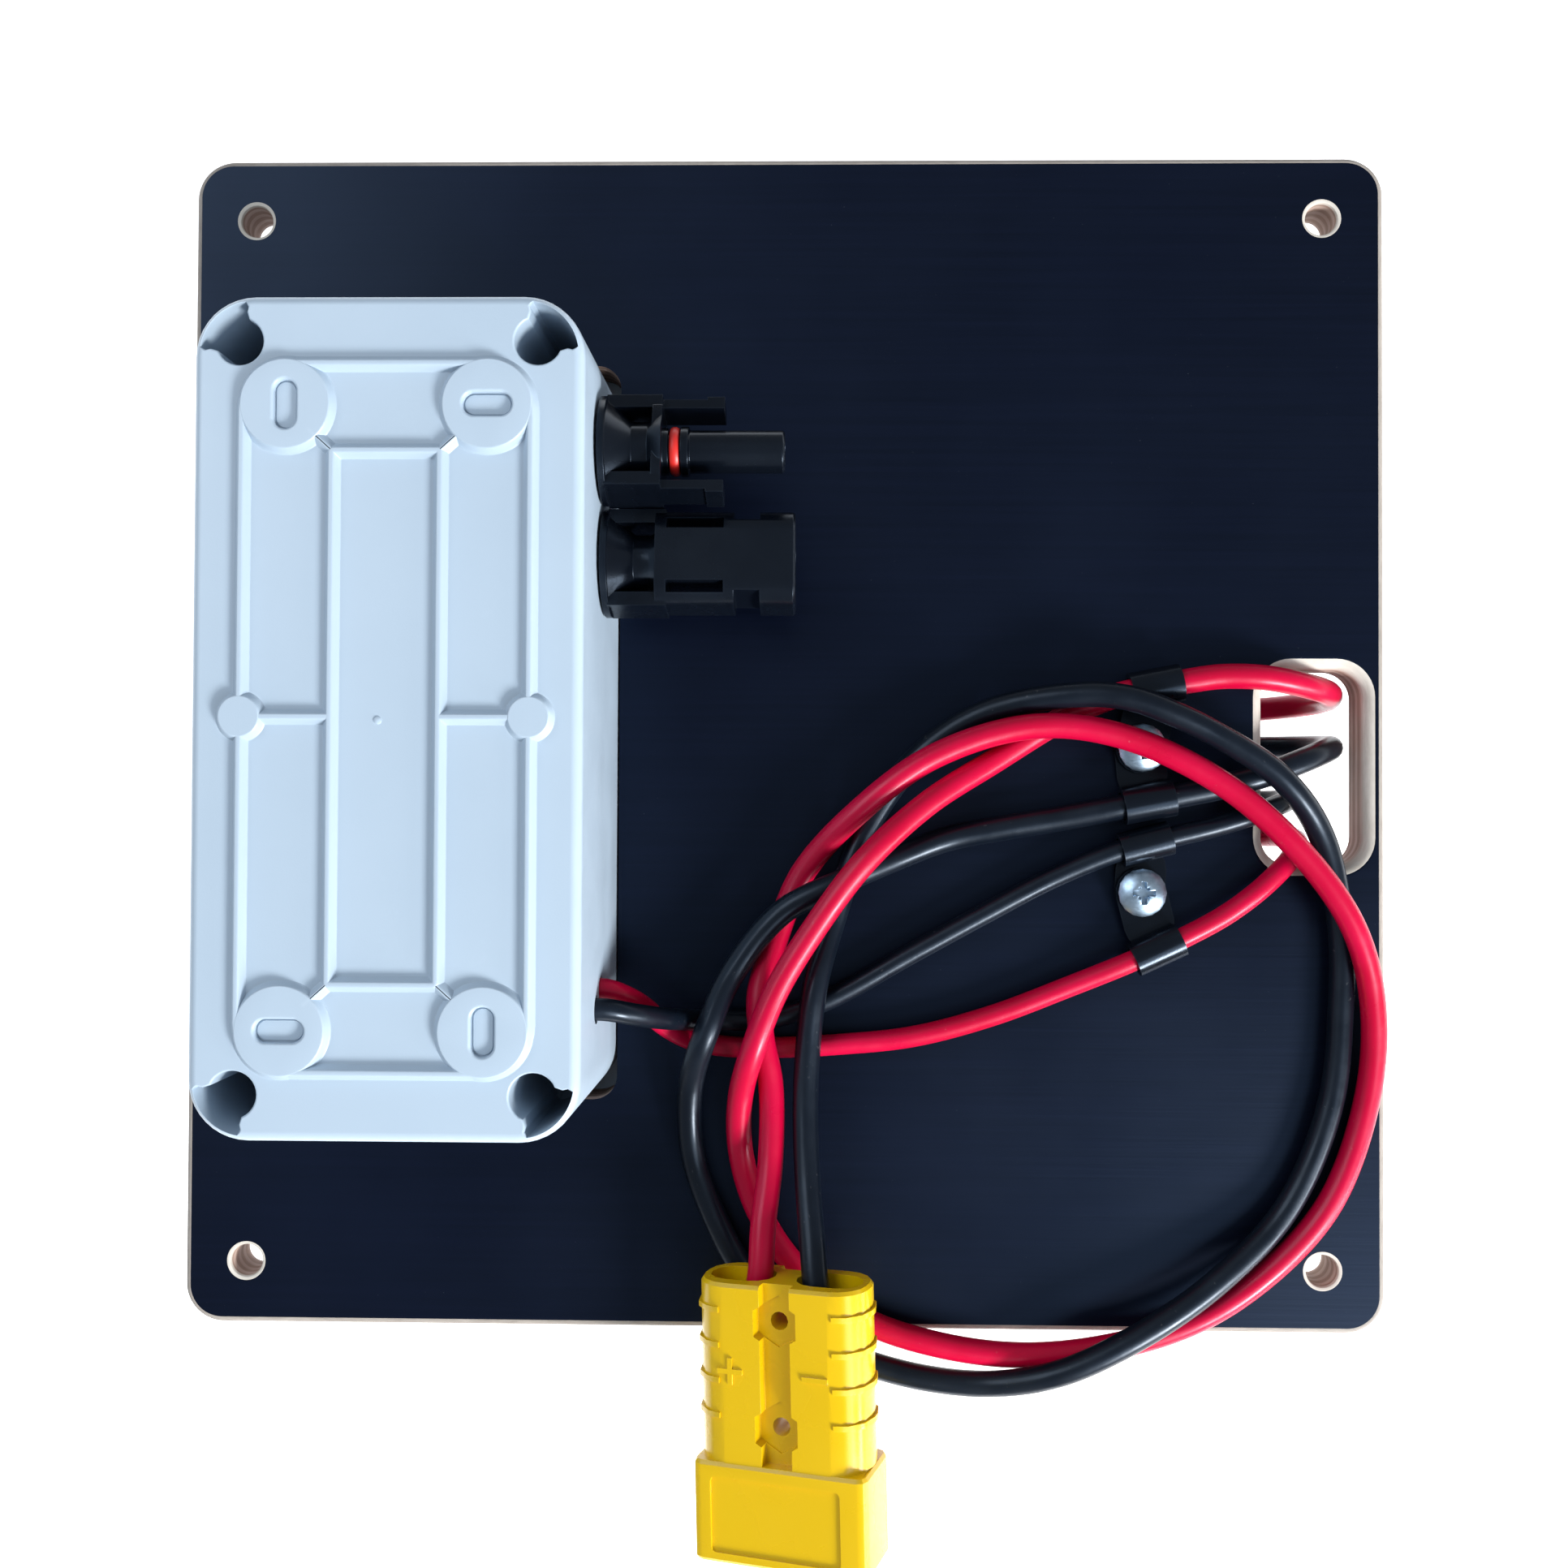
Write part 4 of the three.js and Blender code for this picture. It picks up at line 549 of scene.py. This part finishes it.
def slot_outline(x, y, upright, grow):
    """A boss's slot, with as many points as a circle and the same start, so that both can be bridged."""
    end = SLOT_WIDTH / 2 + grow
    straight = (SLOT_LENGTH / 2 + grow) - end
    points = []
    for i in range(ROUND):
        angle = 2 * math.pi * i / ROUND
        c, s = math.cos(angle), math.sin(angle)
        if upright:
            points.append((x + end * c, y + end * s + straight * side_of(s, 0)))
        else:
            points.append((x + end * c + straight * side_of(c, 1e-9), y + end * s))
    return points


def boss(bm, sx, sy):
    """A round boss near a corner, with a slot that has a raised floor inside a groove."""
    x, y = BOX_X + sx * BOSS_X, BOX_Y + sy * BOSS_Y
    radius, top = BOSS_RADIUS, BOSS_TOP
    rings = [
        (radius + 0.6, RIB_FOOT), (radius + 0.3, RIB_FOOT + 0.26), (radius + 0.1, RIB_FOOT + 0.5),
        (radius - 0.35, top - 0.4), (radius - 0.5, top - 0.13), (radius - 0.75, top),
    ]
    slots = [
        (0.55, top), (0.2, top - 0.12), (0, top - 0.4),
        (0, top - 1.9), (-0.3, top - 1.9), (-0.34, top - 1.3),
    ]
    levels = [(circle(r, x, y), z) for r, z in rings]
    levels += [(slot_outline(x, y, sx * sy < 0, grow), z) for grow, z in slots]
    stack(bm, levels)


def pocket_outline(sx, sy, grow):
    """A corner pocket: a round throat that opens into a lobe along the box's corner."""
    cx, cy = BOX_WIDTH / 2 - BOX_CORNER, BOX_HEIGHT / 2 - BOX_CORNER
    arc, cusp, throat, throat_at = 9.9, 0.62, 4.3, 3.7  # radius, half angle, radius, distance inwards
    half = [(arc * math.cos(cusp * i / 10), arc * math.sin(cusp * i / 10)) for i in range(11)]
    tip = half[-1]
    half += [(tip[0] - 1, tip[1] - 0.3), (tip[0] - 1.5, tip[1] - 1.1)]
    for i in range(11):
        angle = math.pi * (0.38 + 0.62 * i / 10)
        half.append((throat_at + throat * math.cos(angle), throat * math.sin(angle)))
    flat = half + [(a, -b) for a, b in reversed(half[1:-1])]
    grown = []
    for i, (a, b) in enumerate(flat):
        (pa, pb), (na, nb) = flat[i - 1], flat[(i + 1) % len(flat)]
        ta, tb = na - pa, nb - pb
        size = math.hypot(ta, tb)
        grown.append((a + grow * tb / size, b - grow * ta / size))
    points = [
        (BOX_X + sx * (cx + (a - b) * math.sqrt(0.5)), BOX_Y + sy * (cy + (a + b) * math.sqrt(0.5)))
        for a, b in grown
    ]
    return points if sx * sy > 0 else points[::-1]


def solid_object(levels_list):
    """An object made of one closed stack per list of levels."""
    bm = bmesh.new()
    for levels in levels_list:
        stack(bm, levels)
    bmesh.ops.recalc_face_normals(bm, faces=bm.faces)
    mesh = bpy.data.meshes.new("work")
    bm.to_mesh(mesh)
    bm.free()
    obj = bpy.data.objects.new("work", mesh)
    bpy.context.collection.objects.link(obj)
    return obj


def carve(obj, cutters):
    """Cuts each cutter from obj with an exact boolean, and removes the cutters."""
    for cutter in cutters:
        modifier = obj.modifiers.new("cut", "BOOLEAN")
        modifier.operation = "DIFFERENCE"
        modifier.solver = "EXACT"
        modifier.object = cutter
    mesh = baked(obj)
    for cutter in cutters:
        data = cutter.data
        bpy.data.objects.remove(cutter)
        bpy.data.meshes.remove(data)
    return mesh


def cylinder_x(radius, y, z, x0, x1):
    """A cylinder cutter along X."""
    outline = circle(radius, 0, 0, 32)
    cutter = solid_object([[(outline, x0), (outline, x1)]])
    cutter.data.transform(Matrix(((0, 0, 1, 0), (1, 0, 0, y * MM), (0, 1, 0, z * MM), (0, 0, 0, 1))))
    return cutter


def box_outline(grow):
    return rounded(BOX_WIDTH + 2 * grow, BOX_HEIGHT + 2 * grow, BOX_CORNER + grow)


def box_cutters():
    """Corner screw pockets, the hollow in two crossed parts, and the holes for connectors and leads."""
    deep = BOX_BACK - POCKET_DEPTH
    cutters = []
    for sx in (-1, 1):
        for sy in (-1, 1):
            cutters.append(solid_object([[
                (pocket_outline(sx, sy, -1.2), deep), (pocket_outline(sx, sy, 0), deep + 1.2),
                (pocket_outline(sx, sy, 0), BOX_BACK - 0.5), (pocket_outline(sx, sy, 0.12), BOX_BACK - 0.2),
                (pocket_outline(sx, sy, 0.45), BOX_BACK + 0.02), (pocket_outline(sx, sy, 0.6), BOX_BACK + 3),
            ]]))
    for half_x, half_y in ((32.9, 61.2), (21.4, 73.7)):
        hollow = rounded(2 * half_x, 2 * half_y, 0.5, steps=2)
        cutters.append(solid_object([[(hollow, BOX_FRONT - 1), (hollow, BOX_BACK - 2.5)]]))
    for y, z, radius in ((54.3, 79, 6.3), (33.35, 74, 6.3), (-53, 80, 2.78), (-49.8, 74, 2.78)):
        cutters.append(cylinder_x(radius, y, z, BOX_X + 31, BOX_X + 37))
    return cutters


def enclosure_base():
    """The box's back shell with its flange, ribs, discs and slotted bosses."""
    levels = [
        (box_outline(0.3), BOX_FRONT), (box_outline(0.3), BOARD_BACK),
        (box_outline(0), BOX_BACK - BOX_FILLET),
    ]
    for k in range(1, 7):
        a = k / 6 * math.pi / 2
        inset = BOX_FILLET * (1 - math.cos(a))
        levels.append((box_outline(-inset), BOX_BACK - BOX_FILLET * (1 - math.sin(a))))
    shell = solid_object([levels])
    mesh = carve(shell, box_cutters())

    bm = bmesh.new()
    bm.from_mesh(mesh)
    rib_frame(bm, FRAME_X, FRAME_Y, 8.5, RIB_TOP)
    rib_frame(bm, PANEL_X, PANEL_Y, 0.4, RIB_TOP - 0.02)
    disc = [
        (4.75, RIB_FOOT), (4.5, RIB_FOOT + 0.26), (4.3, RIB_FOOT + 0.5),
        (3.85, 101.6), (3.7, 101.87), (3.45, 101.99),
    ]
    for sx in (-1, 1):
        rib_bar(bm, sx * PANEL_X, 0, sx * FRAME_X, 0, RIB_WIDTH, RIB_TOP - 0.04)
        stack(bm, [(circle(r, BOX_X + sx * FRAME_X, BOX_Y), z) for r, z in disc])
        for sy in (-1, 1):
            rib_bar(bm, sx * PANEL_X, sy * PANEL_Y, sx * 14, sy * 51.6, RIB_WIDTH - 0.3, RIB_TOP - 0.06)
            boss(bm, sx, sy)
    flange = rounded(FLANGE_WIDTH, FLANGE_HEIGHT, 14)
    stack(bm, [
        (flange, BOX_FRONT + 0.1), (flange, 39.5),
        (rounded(FLANGE_WIDTH - 0.4, FLANGE_HEIGHT - 0.4, 13.8), 39.7),
        (rounded(70, 151, 10.5), 39.7), (rounded(66, 147, 8), BOX_FRONT + 0.1),
    ], ring=True)
    gate = [(0.8, 100.3), (0.7, 100.55), (0.3, 100.75)]  # the moulding's gate mark
    stack(bm, [(circle(r, BOX_X - 1.3, BOX_Y - 0.6, 16), z) for r, z in gate])
    bmesh.ops.recalc_face_normals(bm, faces=bm.faces)
    bm.to_mesh(mesh)
    bm.free()
    weighted(mesh, "enclosure_base_piece", "enclosure_base")


BOARD_WIDTH, BOARD_HEIGHT, BOARD_CORNER = 250, 245, 8
SLOT_RIM = 2.7  # radius of the wire slot's rounded rim


def mounting_board():
    """The plywood plate with its wire slot, the box's cut-out and the screw holes."""
    front, back = BOARD_FRONT, BOARD_BACK
    plate = solid_object([[
        (rounded(BOARD_WIDTH - 2 * inset, BOARD_HEIGHT - 2 * inset, BOARD_CORNER - inset, 0, 0, 14), z)
        for inset, z in ((1.3, front), (0.45, front + 0.45), (0, front + 1.3),
                         (0, back - 1.3), (0.45, back - 0.45), (1.3, back))
    ]])

    def rim(turn):
        flare = SLOT_RIM * (1 - math.cos(turn))
        return rounded(20.9 + 2 * flare, 40.8 + 2 * flare, 5.8 + flare, 110.35, -5.2)

    turns = [k / 8 * math.pi / 2 for k in range(9)]
    slot = [(rim(turns[-1]), front - 1)]
    slot += [(rim(a), front + SLOT_RIM * (1 - math.sin(a))) for a in reversed(turns)]
    slot += [(rim(a), back - SLOT_RIM * (1 - math.sin(a))) for a in turns]
    slot += [(rim(turns[-1]), back + 1)]
    cut_out = rounded(72.2, 153.8, 5)
    tools = [[(cut_out, front - 1), (cut_out, back + 1)], slot]
    for sx in (-1, 1):
        for sy in (-1, 1):
            tools.append([(circle(r, sx * 112, sy * 109.5), z) for r, z in (
                (4.05, front - 1), (4.05, front), (3.25, front + 0.8),
                (3.25, back - 0.8), (3.45, back - 0.3), (4.05, back), (4.05, back + 1),
            )])
            seats = ((BOX_X + sx * 40.2, BOX_Y + sy * 50), (33 + sx * 41, -7 + sy * 55.6))
            tools += [[(circle(1.8, x, y, 12), front - 1), (circle(1.8, x, y, 12), 49.3)] for x, y in seats]
    tools += [[(circle(2.3, 74, y, 16), 43.2), (circle(2.3, 74, y, 16), back + 1)] for y in (-1.5, -31.3)]
    weighted(carve(plate, [solid_object(tools)]), "mounting_board_piece", "mounting_board")


enclosure_base()
mounting_board()

BEVELS = {  # width in millimetres and segments
    "enclosure_cover": (0.4, 2), "enclosure_door": (0.25, 2),
    "breaker_body": (0.35, 2), "breaker_toggle": (0.4, 2), "breaker_din_clip": (0.3, 2),
    "male_connector_body": (0.25, 2), "female_connector_body": (0.3, 2), "plug_housing": (0.3, 2),
    **{f"p_clip_{i}": (0.25, 2) for i in range(1, 5)},
    "clip_screw_1": (0.12, 2), "clip_screw_2": (0.12, 2), "regulator_cover": (0.3, 2),
    "regulator_back_plate": (0.2, 2), "terminal_block": (0.25, 2), "din_rail": (0.1, 1),
    "plug_contact_positive": (0.2, 2), "plug_contact_negative": (0.2, 2), "status_window": (0.2, 2),
    "male_connector_o_ring": (0.02, 1),
}
BODY_OF = {"enclosure_door": "door", "breaker_toggle": "lever", "breaker_din_clip": "rail_catch"}
refined = {
    node: refine(node, BODY_OF.get(node, ROOT), width, segments)
    for node, (width, segments) in BEVELS.items()
}

for node, obj in NODES.items():
    if obj.hide_render:
        continue
    obj.data.materials.clear()
    obj.data.materials.append(MATERIALS[SLOT_OF[node]])


# ---- floor and light ----
def make_stage():
    bpy.ops.mesh.primitive_plane_add(size=6, location=(0, 0, -0.0006))
    floor = bpy.context.object
    floor.name = "floor"
    s = Shader("floor")
    tone = s.remap(s.noise(3, 2, seed=1.0), 0.3, 0.7, 0.86, 0.9)
    s.set("Base Color", s.mix(tone, (0.8, 0.8, 0.8), (0.95, 0.95, 0.95)))
    s.set("Roughness", 0.9)
    s.set("Emission Color", (1, 1, 1, 1))
    s.set("Emission Strength", 0.85)
    floor.data.materials.append(s.material)


def area_light(name, at, target, size, power, color=(1, 1, 1)):
    data = bpy.data.lights.new(name, "AREA")
    data.shape = "DISK"
    data.size = size
    data.energy = power
    data.color = color
    light = bpy.data.objects.new(name, data)
    light.location = at
    direction = Vector(target) - Vector(at)
    light.rotation_euler = direction.to_track_quat("-Z", "Y").to_euler()
    bpy.context.collection.objects.link(light)


make_stage()
world = bpy.data.worlds.new("studio")
bpy.context.scene.world = world
world.use_nodes = True
world.node_tree.nodes["Background"].inputs[0].default_value = (0.93, 0.96, 1.0, 1)
world.node_tree.nodes["Background"].inputs[1].default_value = 0.34
area_light("key", (0.72, -0.80, 0.66), (0, -0.02, 0.06), 0.34, 24, (1.0, 0.99, 0.97))
area_light("fill", (-0.8, 0.5, 1.0), (0, 0, 0.05), 0.9, 7.5, (0.85, 0.92, 1.0))
area_light("sheen", (0.46, -0.50, 0.85), (0, 0, 0.05), 0.5, 2.2, (0.75, 0.87, 1.0))
area_light("rim", (0.95, -0.62, 0.30), (-0.02, 0.03, 0.08), 0.3, 5, (0.92, 0.96, 1.0))
bpy.context.scene.view_settings.view_transform = "Standard"
